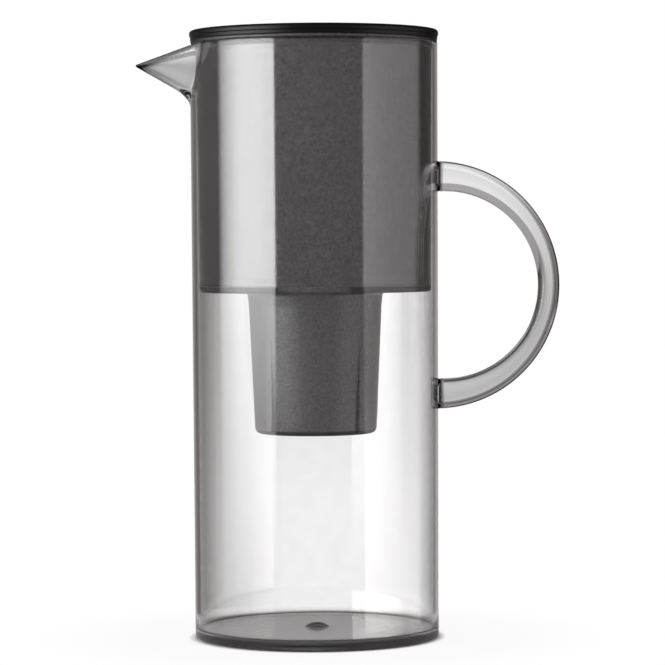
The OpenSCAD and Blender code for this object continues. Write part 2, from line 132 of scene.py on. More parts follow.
class NodeBench:
    """A node tree with short calls to add nodes and to join them."""

    def __init__(self, tree: bpy.types.NodeTree) -> None:
        """Keep the tree that the nodes go into, and empty it."""
        self.tree = tree
        tree.nodes.clear()

    def add(self, kind: str, **settings: object) -> bpy.types.Node:
        """Add a node.

        Args:
            kind: The node's type name.
            settings: Properties of the node.

        Returns:
            The new node.
        """
        node = self.tree.nodes.new(kind)
        for name, value in settings.items():
            setattr(node, name, value)
        return node

    def put(self, node: bpy.types.Node, **values: object) -> bpy.types.Node:
        """Set input sockets by name, with a space for each underscore.

        Args:
            node: The node whose inputs are set.
            values: Numbers and colours, or sockets to join from.

        Returns:
            The same node.
        """
        for name, value in values.items():
            self.feed(node.inputs[name.replace("_", " ")], value)
        return node

    def feed(self, socket: Socket, value: object) -> None:
        """Join a socket to another one, or set its value.

        Args:
            socket: The input socket.
            value: An output socket, or the value to set.
        """
        if isinstance(value, Socket):
            self.tree.links.new(value, socket)
        else:
            socket.default_value = value

    def chain(self, node: bpy.types.Node, *terms: object) -> bpy.types.Node:
        """Set input sockets in their order.

        Args:
            node: The node whose inputs are set.
            terms: Numbers, or sockets to join from.

        Returns:
            The same node.
        """
        for socket, term in zip(node.inputs, terms):
            self.feed(socket, term)
        return node

    def math(self, operation: str, *terms: object) -> Socket:
        """Work out an operation on numbers or sockets."""
        return self.chain(self.add("ShaderNodeMath", operation=operation), *terms).outputs[0]

    def times(self, one: object, two: object) -> Socket:
        """Multiply two numbers or sockets."""
        return self.math("MULTIPLY", one, two)

    def weigh(self, one: Socket, two: Socket, share: float) -> Socket:
        """Add a share of one value to the other share of another."""
        return self.math("MULTIPLY_ADD", one, share, self.times(two, 1.0 - share))

    def toward(self, start: Socket, end: Socket, share: Socket) -> Socket:
        """Move a value by a share of the way to another."""
        return self.math("MULTIPLY_ADD", share, self.math("SUBTRACT", end, start), start)

    def spread(self, value: Socket, low: float, high: float, start: float = 0.0, end: float = 1.0) -> Socket:
        """Map a value from between start and end to between low and high."""
        node = self.add("ShaderNodeMapRange")
        return self.put(node, Value=value, From_Min=start, From_Max=end, To_Min=low, To_Max=high).outputs[0]

    def band(self, value: Socket, rise: Limits, fall: Limits) -> Socket:
        """Mark where a value lies between a soft rise and a soft fall."""
        grown = self.spread(value, 0.0, 1.0, *rise)
        return self.times(grown, self.spread(value, 1.0, 0.0, *fall))

    def noise(self, vector: Socket, size: float, detail: float = 2.0, rough: float = 0.5) -> Socket:
        """Add a noise pattern of about 0 to 1, with lumps of a size in metres."""
        node = self.add("ShaderNodeTexNoise", noise_dimensions="3D")
        return self.put(node, Vector=vector, Scale=1.0 / size, Detail=detail, Roughness=rough).outputs[0]

    def mix(self, share: object, first: object, second: object, kind: Mixing = Mixing.COVER) -> Socket:
        """Mix two colours.

        Args:
            share: How much the second colour acts, from 0 to 1.
            first: The first colour, or its socket.
            second: The second colour, or its socket.
            kind: How the second colour acts on the first.

        Returns:
            The colour socket.
        """
        node = self.add("ShaderNodeMix", data_type="RGBA", blend_type=kind.value)
        sockets = (node.inputs[0], node.inputs[6], node.inputs[7])
        for socket, value in zip(sockets, (share, first, second)):
            self.feed(socket, (*value, 1.0) if isinstance(value, tuple) else value)
        return node.outputs[2]

    def layer(self, share: Socket, under: Socket, over: Socket) -> Socket:
        """Lay a share of one shader over another."""
        return self.chain(self.add("ShaderNodeMixShader"), share, under, over).outputs[0]

    def ramp(self, value: Socket, stops: Iterable[tuple[float, Colour]]) -> Socket:
        """Grade a value through a row of colours.

        Args:
            value: The socket that picks the colour.
            stops: The places of the colours, in order, and the colours.

        Returns:
            The colour socket.
        """
        node = self.add("ShaderNodeValToRGB")
        elements = node.color_ramp.elements
        elements.remove(elements[1])
        for index, (spot, colour) in enumerate(stops):
            stop = elements.new(spot) if index else elements[0]
            stop.position = spot
            stop.color = (*colour, 1.0)
        self.feed(node.inputs["Fac"], value)
        return node.outputs["Color"]

    def axes(self, vector: Socket) -> tuple[Socket, ...]:
        """Split a vector into its X, Y and Z."""
        return tuple(self.chain(self.add("ShaderNodeSeparateXYZ"), vector).outputs)

    def polar(self, away: Socket, turn: Socket, height: object = 0.0) -> Socket:
        """Place a point round the axis.

        Args:
            away: Its distance from the axis.
            turn: Its direction round the axis.
            height: Its height.

        Returns:
            The point's socket.
        """
        node = self.add("ShaderNodeCombineXYZ")
        across = self.times(away, self.math("COSINE", turn))
        along = self.times(away, self.math("SINE", turn))
        return self.put(node, X=across, Y=along, Z=height).outputs[0]


class FinishBench(NodeBench):
    """The bench of a new material that reads Object coordinates."""

    def __init__(self, name: str) -> None:
        """Start the material.

        Args:
            name: The material's name.
        """
        self.material = bpy.data.materials.new(name)
        self.material.use_nodes = True
        super().__init__(self.material.node_tree)
        self.output = self.add("ShaderNodeOutputMaterial")
        self.coords = self.add("ShaderNodeTexCoord").outputs["Object"]

    def principled(self, relief: Socket, depth: float, strength: float, **values: object) -> None:
        """Add the Principled shader with a fine relief.

        Args:
            relief: The relief's height, from 0 to 1.
            depth: The relief's depth in metres.
            strength: How much of the relief acts.
            values: The shader's inputs, named as in put.
        """
        shader = self.put(self.add("ShaderNodeBsdfPrincipled"), **values)
        bump = self.put(self.add("ShaderNodeBump"), Strength=strength, Distance=depth, Height=relief)
        self.feed(shader.inputs["Normal"], bump.outputs["Normal"])
        self.feed(self.output.inputs["Surface"], shader.outputs["BSDF"])


@dataclass(frozen=True)
class SmokePlastic:
    """Clear moulded plastic that takes its smoke tint from the way light runs through it.

    A zone of painted shade is given by its lower and upper height and its least distance from the middle,
    and the tint is darkened there. The edge shade darkens the tint by painted shade along marked edges
    and at dark weld joints. A satin limit is given by its height and the roughness below and above it.
    """

    name: str
    tint_dark: Colour
    tint_light: Colour
    absorb_colour: Colour
    absorb_density: float
    ior: float
    rough: Limits
    speck_size: float
    wave_size: float
    wave_depth: float
    painted_shade_zones: tuple[Corner, ...]
    painted_shade: float
    shade_zone_rough: float = 0.0
    zone_soft: float = 0.0005
    round_zones: bool = False
    side_soft: float = 0.001
    side_growth: float = 1.4
    clearness: float = 1.0
    edge_shade: float = 1.0
    satin: tuple[Corner, ...] = ()
    satin_soft: float = 0.0004
    patch_growth: float = 6.0
    patch_share: float = 0.08
    speck_limits: Limits = (0.28, 0.72)
    wave_limits: Limits = (0.3, 0.7)
    relief: float = 0.5

    def painted_shade_zone(self, bench: FinishBench) -> Socket:
        """Find the zones of painted shade.

        Args:
            bench: The material's bench.

        Returns:
            1 in a zone of painted shade and 0 outside.
        """
        x, y, z = bench.axes(bench.coords)
        away = bench.math("ABSOLUTE", x)
        if self.round_zones:
            away = bench.math("SQRT", bench.math("MULTIPLY_ADD", away, away, bench.times(y, y)))
        soft = self.zone_soft
        zone: object = 0.0
        for low, high, side in self.painted_shade_zones:
            between = bench.band(z, (low - soft, low + soft), (high - soft, high + soft))
            beyond = bench.spread(away, 0.0, 1.0, side - self.side_soft, self.side_growth * side)
            zone = bench.math("MAXIMUM", zone, bench.times(between, beyond))
        return zone

    def make(self) -> Material:
        """Build the material.

        Returns:
            The finished material.
        """
        bench = FinishBench(self.name)
        fine = bench.noise(bench.coords, self.speck_size, detail=1.0)
        patch = bench.noise(bench.coords, self.patch_growth * self.speck_size, detail=3.0)
        speck = bench.spread(bench.weigh(patch, fine, self.patch_share), 0.0, 1.0, *self.speck_limits)
        wave = bench.noise(bench.coords, self.wave_size)
        tint = bench.mix(speck, self.tint_dark, self.tint_light)
        rough = bench.spread(wave, *self.rough, *self.wave_limits)
        # Painted shade: the tint is darkened, and the roughness raised, in the given zones.
        zone = self.painted_shade_zone(bench)
        tint = bench.mix(zone, tint, 3 * (self.painted_shade,), Mixing.DARKEN)
        rough = bench.math("MAXIMUM", rough, bench.times(zone, self.shade_zone_rough))
        # Painted shade along the marked edges, which also darkens the dark weld joints.
        if self.edge_shade < 1.0:
            edge = bench.add("ShaderNodeAttribute", attribute_name=EDGE_SHADE_AND_WELD).outputs["Fac"]
            tint = bench.mix(edge, tint, 3 * (self.edge_shade,), Mixing.DARKEN)
        for height, below, above in self.satin:
            z = bench.axes(bench.coords)[2]
            matt = bench.spread(z, below, above, height - self.satin_soft, height + self.satin_soft)
            rough = bench.math("MAXIMUM", rough, matt)
        bench.principled(
            wave, self.wave_depth, self.relief, Base_Color=tint, Roughness=rough, IOR=self.ior,
            Transmission_Weight=self.clearness,
        )
        volume = bench.add("ShaderNodeVolumeAbsorption")
        bench.put(volume, Color=(*self.absorb_colour, 1.0), Density=self.absorb_density)
        bench.feed(bench.output.inputs["Volume"], volume.outputs["Volume"])
        return bench.material


@dataclass(frozen=True)
class MouldedPlastic:
    """Opaque moulded plastic or rubber with a fine grain and uneven gloss."""

    name: str
    dark: Colour
    light: Colour
    rough: Limits
    grain_size: float
    grain_depth: float
    patch_size: float = 0.02
    specular: float = 0.5
    grain_share: float = 0.35
    tone_limits: Limits = (0.35, 0.65)
    relief: float = 0.6

    def make(self) -> Material:
        """Build the material.

        Returns:
            The finished material.
        """
        bench = FinishBench(self.name)
        grain = bench.noise(bench.coords, self.grain_size, detail=3.0, rough=0.6)
        patch = bench.noise(bench.coords, self.patch_size, detail=4.0)
        both = bench.weigh(grain, patch, self.grain_share)
        tone = bench.spread(both, 0.0, 1.0, *self.tone_limits)
        bench.principled(
            grain, self.grain_depth, self.relief, Base_Color=bench.mix(tone, self.dark, self.light),
            Roughness=bench.spread(both, *self.rough, *self.tone_limits), Specular_IOR_Level=self.specular,
        )
        return bench.material


@dataclass(frozen=True)
class FleeceFelt:
    """Needled fleece: a mat of short crossing fibres."""

    name: str
    dark: Colour
    light: Colour
    fibre: float
    fibre_length: float = 8.0
    turns: tuple[float, ...] = (0.4, 1.5, 2.6)
    squeeze: Corner = (1.0, 9.0, 3.0)
    tone_limits: Limits = (0.45, 0.75)
    rough: float = 0.95
    relief: float = 0.8

    def make(self) -> Material:
        """Build the material.

        Returns:
            The finished material.
        """
        bench = FinishBench(self.name)
        mat: object = 0.0
        for turn in self.turns:
            mapping = bench.add("ShaderNodeMapping")
            bench.put(mapping, Vector=bench.coords, Rotation=(0.0, 0.0, turn), Scale=self.squeeze)
            layer = bench.noise(mapping.outputs["Vector"], self.fibre * self.fibre_length, detail=3.0)
            mat = bench.math("MAXIMUM", mat, layer)
        tone = bench.spread(mat, 0.0, 1.0, *self.tone_limits)
        bench.principled(
            mat, self.fibre, self.relief, Base_Color=bench.mix(tone, self.dark, self.light),
            Roughness=self.rough,
        )
        return bench.material


@dataclass(frozen=True)
class Finishes:
    """Every finish of the jug."""

    # Painted shade: the clear finish darkens a band round the foot, the hoop darkens its lower part, and the
    # dark finish darkens lines at the sides of the hopper's floor, a band near the cup's bottom and the
    # flange's ends.
    clear: SmokePlastic = SmokePlastic(
        "clear smoke plastic", tint_dark=(0.985, 0.98, 0.98), tint_light=WHITE,
        absorb_colour=(0.47, 0.43, 0.44), absorb_density=8.0, ior=1.49, rough=(0.0, 0.012),
        speck_size=0.006, wave_size=0.03, wave_depth=0.00002, painted_shade_zones=((-0.001, 0.0041, 0.036),),
        painted_shade=0.125, round_zones=True, edge_shade=0.04,
    )
    hoop: SmokePlastic = replace(
        clear, name="hoop smoke plastic", absorb_density=16.0, painted_shade_zones=((-1.0, 0.182, 0.0),),
        painted_shade=0.67, zone_soft=0.03, round_zones=False, edge_shade=0.02,
    )
    dark: SmokePlastic = SmokePlastic(
        "dark smoke plastic", tint_dark=(0.235, 0.2215, 0.226), tint_light=(0.51, 0.481, 0.49),
        absorb_colour=(0.30, 0.27, 0.28), absorb_density=800.0, ior=1.75, rough=(0.08, 0.112),
        speck_size=0.0011, wave_size=0.0009, wave_depth=0.000003,
        painted_shade_zones=((0.1612, 0.1649, 0.012), (0.0950, 0.0978, 0.0), (0.2750, 0.30, 0.040)),
        painted_shade=0.06, shade_zone_rough=0.6, zone_soft=0.0004, clearness=0.76,
        satin=((0.1612, 0.32, 0.0), (0.2748, 0.0, 0.544)),
    )
    shell: MouldedPlastic = MouldedPlastic(
        "filter shell plastic", dark=(0.74, 0.75, 0.75), light=(0.83, 0.84, 0.84), rough=(0.42, 0.55),
        grain_size=0.0004, grain_depth=0.00002,
    )
    seal: MouldedPlastic = MouldedPlastic(
        "seal rubber", dark=(0.10, 0.10, 0.105), light=(0.16, 0.16, 0.165), rough=(0.6, 0.78),
        grain_size=0.0003, grain_depth=0.00002, patch_size=0.006, specular=0.35,
    )
    screen: MouldedPlastic = MouldedPlastic(
        "screen plastic", dark=(0.60, 0.61, 0.62), light=(0.70, 0.71, 0.72), rough=(0.5, 0.65),
        grain_size=0.0003, grain_depth=0.00002, patch_size=0.008,
    )
    carbon: MouldedPlastic = MouldedPlastic(
        "carbon grain", dark=(0.008, 0.008, 0.009), light=(0.035, 0.034, 0.034), rough=(0.55, 0.9),
        grain_size=0.0004, grain_depth=0.00006, patch_size=0.0016,
    )
    resin: MouldedPlastic = MouldedPlastic(
        "resin bead", dark=(0.55, 0.36, 0.16), light=(0.78, 0.58, 0.33), rough=(0.25, 0.4),
        grain_size=0.0006, grain_depth=0.00002, patch_size=0.0018,
    )
    fleece: FleeceFelt = FleeceFelt("fleece felt", (0.55, 0.54, 0.50), (0.86, 0.85, 0.81), 0.00025)
    black: MouldedPlastic = MouldedPlastic(
        "black satin plastic", dark=(0.006, 0.006, 0.0062), light=(0.010, 0.010, 0.0102), rough=(0.34, 0.44),
        grain_size=0.00035, grain_depth=0.00001, specular=0.3,
    )


def arc_corner(
    before: Array, corner: Array, after: Array, radius: float, steps: int
) -> list[Array]:
    """Round one corner of a profile.

    Args:
        before: The point before the corner.
        corner: The corner.
        after: The point after the corner.
        radius: The radius of the arc.
        steps: The number of arc pieces.

    Returns:
        The points of the arc, with a point close before and after it that keeps the flats flat.
    """
    one = before - corner
    two = after - corner
    room = min(np.linalg.norm(one), np.linalg.norm(two))
    one = one / np.linalg.norm(one)
    two = two / np.linalg.norm(two)
    half = math.acos(float(np.clip(one @ two, -1.0, 1.0))) / 2.0
    reach = min(radius / math.tan(half), ARC_ROOM * room)
    radius = reach * math.tan(half)
    middle = (one + two) / np.linalg.norm(one + two)
    centre = corner + middle * radius / math.sin(half)
    start = corner + one * reach - centre
    end = corner + two * reach - centre
    turn = math.atan2(start[0] * end[1] - start[1] * end[0], float(start @ end))
    points = []
    for step in range(steps + 1):
        angle = turn * step / steps
        spun = (
            start[0] * math.cos(angle) - start[1] * math.sin(angle),
            start[0] * math.sin(angle) + start[1] * math.cos(angle),
        )
        points.append(centre + np.array(spun))
    guard = min(GUARD, GUARD_ROOM * (room - reach))
    return [corner + one * (reach + guard), *points, corner + two * (reach + guard)]


def rounded(corners: Sequence[Corner], steps: int = 5, loop: bool = False) -> Array:
    """Turn corners into a profile with rounded corners.

    Args:
        corners: Radius from the axis, height and corner radius of each corner, in order.
        steps: The number of pieces of each arc.
        loop: True if the last corner joins the first.

    Returns:
        The profile's points, one row each of radius and height.
    """
    flat = [np.array(corner[:2], float) for corner in corners]
    points: list[Array] = []
    for index, corner in enumerate(corners):
        inner = loop or 0 < index < len(corners) - 1
        if inner and corner[2] > 0.0:
            after = flat[(index + 1) % len(flat)]
            points.extend(arc_corner(flat[index - 1], flat[index], after, corner[2], steps))
        else:
            points.append(flat[index])
    return np.array(points)


def divided(profile: Array, longest: float) -> Array:
    """Split the long stretches of a profile.

    Args:
        profile: The profile's points.
        longest: The longest stretch that stays whole.

    Returns:
        The profile with more points.
    """
    points = [profile[0]]
    for start, end in zip(profile[:-1], profile[1:]):
        count = max(1, math.ceil(float(np.linalg.norm(end - start)) / longest))
        points.extend(start + (end - start) * (step + 1) / count for step in range(count))
    return np.array(points)


def plain_mesh(name: str, bm: bmesh.types.BMesh) -> Mesh:
    """Turn the faces of a worked mesh outwards and close the work.

    Args:
        name: The mesh's name.
        bm: The worked mesh.

    Returns:
        The plain mesh.
    """
    bmesh.ops.recalc_face_normals(bm, faces=bm.faces)
    mesh = bpy.data.meshes.new(name)
    bm.to_mesh(mesh)
    bm.free()
    return mesh


def skin_mesh(name: str, rings: Array, loop: bool, marks: Array | None = None) -> Mesh:
    """Join rings of points into one closed skin.

    Args:
        name: The mesh's name.
        rings: The points, by ring and by place round the ring. The first and last ring of an open run
            lie on the axis and become single points.
        loop: True if the last ring joins the first.
        marks: How much painted edge shade or a dark weld joint darkens each point of an open run, from 0
        to 1, or None.

    Returns:
        The mesh, smooth, with its faces outwards and its hard edges kept.
    """
    count = rings.shape[1]
    bm = bmesh.new()
    rows = [[bm.verts.new(point) for point in ring] for ring in (rings if loop else rings[1:-1])]
    pairs = list(zip(rows[:-1], rows[1:]))
    if loop:
        pairs.append((rows[-1], rows[0]))
    else:
        for pole, row in ((rings[0][0], rows[0]), (rings[-1][0], rows[-1])):
            tip = bm.verts.new(pole)
            for spot in range(count):
                bm.faces.new((tip, row[spot], row[(spot + 1) % count]))
    for low, high in pairs:
        for spot in range(count):
            after = (spot + 1) % count
            bm.faces.new((low[spot], low[after], high[after], high[spot]))
    mesh = plain_mesh(name, bm)
    if marks is not None:
        values = np.concatenate([marks[1:-1].ravel(), [marks[0, 0], marks[-1, 0]]])
        mesh.attributes.new(EDGE_SHADE_AND_WELD, "FLOAT", "POINT").data.foreach_set("value", values)
    return smooth_mesh(mesh)


def smooth_mesh(mesh: Mesh, angle: float = HARD_EDGE) -> Mesh:
    """Shade a mesh smooth and keep its hard edges.

    Args:
        mesh: The mesh.
        angle: The angle in degrees from which an edge stays hard.

    Returns:
        The same mesh.
    """
    mesh.polygons.foreach_set("use_smooth", [True] * len(mesh.polygons))
    mesh.set_sharp_from_angle(angle=math.radians(angle))
    mesh.update()
    return mesh


class RingStack:
    """Rings of points round the axis, in the order of a skin that runs through them."""

    def __init__(self, angle: Array) -> None:
        """Keep the directions round the axis that all rings share."""
        self.angle = angle
        self.rows: list[tuple[Array, Array]] = []

    def even(self, value: object) -> Array:
        """Repeat a value all round, or pass on values that already go round."""
        return np.zeros_like(self.angle) + value

    def add(self, radius: object, height: object) -> None:
        """Add a ring by its radius and height, each one value or values all round."""
        self.rows.append((self.even(radius), self.even(height)))

    def level(self, profile: Array) -> None:
        """Add a level ring for each point of a profile."""
        for radius, height in profile:
            self.add(radius, height)

    def follow(self, wall: Callable[[Array, Array], Array], heights: Iterable[object]) -> None:
        """Add a ring at each height, with the radius that a wall has there."""
        for height in heights:
            self.add(wall(self.angle, self.even(height)), height)

    def points(self) -> Array:
        """Points of all rings, by ring and by place round the ring."""
        across, along = np.cos(self.angle), np.sin(self.angle)
        return np.array([
            np.stack([radius * across, radius * along, height], axis=1) for radius, height in self.rows
        ])


def circle(count: int) -> Array:
    """Even directions all round the axis."""
    return np.linspace(0.0, FULL_TURN, count, endpoint=False)


def both_sides(half: Array) -> Array:
    """Mirror the directions from 0 to half a turn, so that they go all round."""
    return np.concatenate([half, -half[-2:0:-1]])


def spin_mesh(name: str, profile: Array, count: int = 192, loop: bool = False) -> Mesh:
    """Turn a profile round the axis.

    Args:
        name: The mesh's name.
        profile: Radius and height of each point.
        count: The number of places round the axis.
        loop: True if the profile is a closed ring that doesn't reach the axis.

    Returns:
        The mesh.
    """
    stack = RingStack(circle(count))
    stack.level(profile)
    return skin_mesh(name, stack.points(), loop)


def join_radii(one: Array, two: Array, soft: float, kind: Blend) -> Array:
    """Join two radii with a soft corner between them.

    Args:
        one: The first radius.
        two: The second radius.
        soft: The width of the soft corner.
        kind: OUTER keeps the larger radius and INNER the smaller one.

    Returns:
        The joined radius.
    """
    sign = kind.value
    share = np.clip(0.5 + 0.5 * sign * (one - two) / soft, 0.0, 1.0)
    return two + (one - two) * share + sign * soft * share * (1.0 - share)


def new_object(name: str, data: bpy.types.ID) -> bpy.types.Object:
    """Make an object and link it into the scene.

    Args:
        name: The object's name.
        data: Its mesh, lamp or camera data.

    Returns:
        The object.
    """
    made = bpy.data.objects.new(name, data)
    bpy.context.scene.collection.objects.link(made)
    return made


def place(
    name: str, mesh: Mesh, material: Material, body: Body, slot: Slot, *nodes: str
) -> bpy.types.Object:
    """Put a finished mesh into the scene and tie it to the frame.

    Args:
        name: The piece's name.
        mesh: The finished mesh.
        material: The piece's finish.
        body: The body that carries it.
        slot: The record's material slot; not used.
        nodes: The CAD nodes that it stands for.

    Returns:
        The piece.
    """
    mesh.name = name
    mesh.polygons.foreach_set("material_index", [0] * len(mesh.polygons))
    mesh.materials.clear()
    mesh.materials.append(material)
    piece = new_object(name, mesh)
    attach(piece, body.value)
    if nodes:
        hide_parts(*nodes)
    LOG.info("%s: %d faces on %s", name, len(mesh.polygons), body.value)
    return piece


class PatternTree:
    """A Geometry Nodes tree with named inputs that works on one mesh."""

    def __init__(self, name: str, inputs: dict[str, str]) -> None:
        """Start the tree.

        Args:
            name: The tree's name.
            inputs: The kind of each named input, such as Int or Float.
        """
        self.group = bpy.data.node_groups.new(name, "GeometryNodeTree")
        self.bench = NodeBench(self.group)
        for label, kind in {"Piece": "Geometry", "Finish": "Material", **inputs}.items():
            self.group.interface.new_socket(label, in_out="INPUT", socket_type=f"NodeSocket{kind}")
        self.group.interface.new_socket("Result", in_out="OUTPUT", socket_type="NodeSocketGeometry")
        self.given = self.bench.add("NodeGroupInput").outputs

    def ring_points(self, count: Socket, spot: Socket) -> Socket:
        """Make points at spots that follow from their index."""
        return self.bench.put(self.bench.add("GeometryNodePoints"), Count=count, Position=spot).outputs[0]

    def copies(self, points: Socket, shape: Socket, **values: object) -> Socket:
        """Set a copy of a shape on each point, with the rotation and scale in values."""
        node = self.bench.add("GeometryNodeInstanceOnPoints")
        return self.bench.put(node, Points=points, Instance=shape, **values).outputs["Instances"]

    def meet(self, tools: Socket, joining: Joining) -> None:
        """End the tree with tools added to the piece or cut out of it.

        Args:
            tools: The tools' geometry.
            joining: Whether they are added or cut.
        """
        node = self.bench.add("GeometryNodeMeshBoolean", operation=joining.value, solver="MANIFOLD")
        first = "Mesh 2" if joining is Joining.ADD else "Mesh 1"
        self.bench.feed(node.inputs[first], self.given["Piece"])
        self.bench.feed(node.inputs["Mesh 2"], tools)
        self.close(node.outputs["Mesh"])

    def close(self, geometry: Socket) -> None:
        """End the tree with real geometry that carries its finish.

        Args:
            geometry: The socket with the result.
        """
        real = self.bench.put(self.bench.add("GeometryNodeRealizeInstances"), Geometry=geometry)
        dress = self.bench.add("GeometryNodeSetMaterial")
        self.bench.put(dress, Geometry=real.outputs["Geometry"], Material=self.given["Finish"])
        self.bench.put(self.bench.add("NodeGroupOutput"), Result=dress.outputs["Geometry"])

    def apply(
        self, mesh: Mesh, finish: Material, angle: float = HARD_EDGE, **values: object
    ) -> Mesh:
        """Run the tree on a mesh.

        Args:
            mesh: The mesh that it starts from.
            finish: The material of the result.
            angle: The angle in degrees from which an edge of the result stays hard.
            values: The named inputs, with an underscore for each space.

        Returns:
            The result as a plain mesh.
        """
        holder = new_object("holder", mesh)
        modifier = holder.modifiers.new("pattern", "NODES")
        modifier.node_group = self.group
        wanted = {label.replace("_", " "): value for label, value in values.items()}
        wanted["Finish"] = finish
        for item in self.group.interface.items_tree:
            if item.in_out == "INPUT" and item.name in wanted:
                modifier[item.identifier] = wanted[item.name]
        graph = bpy.context.evaluated_depsgraph_get()
        result = bpy.data.meshes.new_from_object(holder.evaluated_get(graph))
        holder.modifiers.remove(modifier)
        bpy.data.objects.remove(holder)
        return smooth_mesh(result, angle)


class ToolRing(PatternTree):
    """Copies of one tool round the axis, added to a piece or cut out of it."""

    def __init__(self, joining: Joining) -> None:
        """Build the tree.

        Args:
            joining: Whether the tools are added or cut.
        """
        super().__init__(f"tool ring {joining.name.lower()}", {
            "Tool": "Object", "Count": "Int", "Ring Radius": "Float", "First Angle": "Float",
        })
        bench, given = self.bench, self.given
        index = bench.add("GeometryNodeInputIndex").outputs["Index"]
        step = bench.math("DIVIDE", FULL_TURN, given["Count"])
        turn = bench.math("MULTIPLY_ADD", index, step, given["First Angle"])
        points = self.ring_points(given["Count"], bench.polar(given["Ring Radius"], turn))
        spun = bench.put(bench.add("ShaderNodeCombineXYZ"), Z=turn)
        tool = bench.put(bench.add("GeometryNodeObjectInfo"), Object=given["Tool"])
        self.meet(self.copies(points, tool.outputs["Geometry"], Rotation=spun.outputs[0]), joining)

    def run(
        self, mesh: Mesh, finish: Material, tool: Mesh, count: int = 1,
        radius: float = 0.0, first: float = 0.0,
    ) -> Mesh:
        """Set copies of a tool on a mesh.

        Args:
            mesh: The mesh that they are added to or cut out of.
            finish: The material of the result.
            tool: The tool's closed mesh.
            count: The number of copies.
            radius: The radius of their ring.
            first: The direction of the first copy.

        Returns:
            The result.
        """
        holder = new_object("tool", tool)
        result = self.apply(mesh, finish, Tool=holder, Count=count, Ring_Radius=radius, First_Angle=first)
        bpy.data.objects.remove(holder)
        return result


class HoleRings(PatternTree):
    """A hole in the middle of a disc and rings of holes round it, each ring six holes longer."""

    hole_corners: int = 16

    def __init__(self) -> None:
        """Build the tree.

        The number of a hole's ring follows from its index, because the rings up to ring n hold
        3 n (n + 1) holes beside the middle one.
        """
        super().__init__("rings of holes", {
            "Rings": "Int", "Pitch": "Float", "Hole Diameter": "Float", "Hole Middle": "Float",
            "Hole Depth": "Float",
        })
        bench, given = self.bench, self.given
        index = bench.add("GeometryNodeInputIndex").outputs["Index"]
        rooted = bench.math("SQRT", bench.math("MULTIPLY_ADD", index, 4.0 / 3.0, 1.0))
        ring = bench.math("CEIL", bench.math("MULTIPLY_ADD", rooted, 0.5, -0.5001))
        before = bench.times(bench.times(ring, 3.0), bench.math("SUBTRACT", ring, 1.0))
        order = bench.math("SUBTRACT", bench.math("SUBTRACT", index, 1.0), before)
        share = bench.math("DIVIDE", order, bench.math("MAXIMUM", bench.times(ring, 6.0), 1.0))
        turn = bench.times(share, FULL_TURN)
        spot = bench.polar(bench.times(ring, given["Pitch"]), turn, given["Hole Middle"])
        more = bench.times(given["Rings"], bench.math("ADD", given["Rings"], 1.0))
        points = self.ring_points(bench.math("MULTIPLY_ADD", more, 3.0, 1.0), spot)
        drill = bench.add("GeometryNodeMeshCylinder")
        radius = bench.times(given["Hole Diameter"], 0.5)
        bench.put(drill, Vertices=self.hole_corners, Radius=radius, Depth=given["Hole Depth"])
        self.meet(self.copies(points, drill.outputs["Mesh"]), Joining.CUT)


class GrainCoat(PatternTree):
    """Loose grains or beads packed over the skin of a bed."""

    densest: float = 3.0e6
    widest_turn: float = 6.28
    least_broken: float = 0.6
    least_round: float = 0.85

    def __init__(self, shape: Grain) -> None:
        """Build the tree.

        Args:
            shape: Whether the grains are broken or round.
        """
        super().__init__(f"{shape.name.lower()} grains", {
            "Grain Size": "Float", "Spacing": "Float", "Seed": "Int",
        })
        bench, given = self.bench, self.given
        scatter = bench.add("GeometryNodeDistributePointsOnFaces", distribute_method="POISSON")
        bench.put(
            scatter, Mesh=given["Piece"], Distance_Min=given["Spacing"], Density_Max=self.densest,
            Seed=given["Seed"],
        )
        half = bench.times(given["Grain Size"], 0.5)
        if shape is Grain.BROKEN:
            grain = bench.put(bench.add("GeometryNodeMeshIcoSphere"), Radius=half, Subdivisions=1)
            least = self.least_broken
        else:
            grain = bench.put(bench.add("GeometryNodeMeshUVSphere"), Radius=half, Segments=8, Rings=5)
            least = self.least_round
        chance = []
        for low, high in ((0.0, self.widest_turn), (least, 1.0)):
            node = bench.add("FunctionNodeRandomValue", data_type="FLOAT_VECTOR")
            bench.put(node, Min=3 * (low,), Max=3 * (high,), Seed=given["Seed"])
            chance.append(node.outputs[0])
        copies = self.copies(
            scatter.outputs["Points"], grain.outputs["Mesh"], Rotation=chance[0], Scale=chance[1]
        )
        both = bench.add("GeometryNodeJoinGeometry")
        bench.feed(both.inputs[0], given["Piece"])
        bench.feed(both.inputs[0], copies)
        self.close(both.outputs[0])


def prism_mesh(name: str, low: Array, high: Array) -> Mesh:
    """Join two outlines of the same length into a closed solid.

    Args:
        name: The mesh's name.
        low: The corners of the first outline, one row each.
        high: The corners of the second outline, in the same order.

    Returns:
        The mesh.
    """
    bm = bmesh.new()
    below, above = [[bm.verts.new(point) for point in outline] for outline in (low, high)]
    bm.faces.new(below)
    bm.faces.new(above)
    for spot in range(len(below)):
        after = (spot + 1) % len(below)
        bm.faces.new((below[spot], below[after], above[after], above[spot]))
    return plain_mesh(name, bm)


def upright(name: str, outline: Array, low: float, high: float) -> Mesh:
    """Raise a flat outline to a closed solid between two heights."""
    floor = np.column_stack([outline, np.full(len(outline), low)])
    return prism_mesh(name, floor, floor + np.array([0.0, 0.0, high - low]))


def disc_profile(low: Corner, high: Corner, steps: int, longest: float) -> Array:
    """Profile of a disc, from the axis over its lower and upper corner and back."""
    corners = [(0.0, low[1], 0.0), low, high, (0.0, high[1], 0.0)]
    return divided(rounded(corners, steps), longest)


def round_outline(diameter: float, count: int = 32) -> Array:
    """Places round a circle about the axis."""
    return diameter / 2.0 * np.stack([np.cos(circle(count)), np.sin(circle(count))], axis=1)


def box_outline(near: float, far: float, width: float, corner: float = 0.0) -> Array:
    """Outline of a slot or block along X, with a width across Y and rounded corners."""
    spots = ((near, -1.0), (far, -1.0), (far, 1.0), (near, 1.0))
    return rounded([(x, side * width / 2.0, corner) for x, side in spots], loop=True)


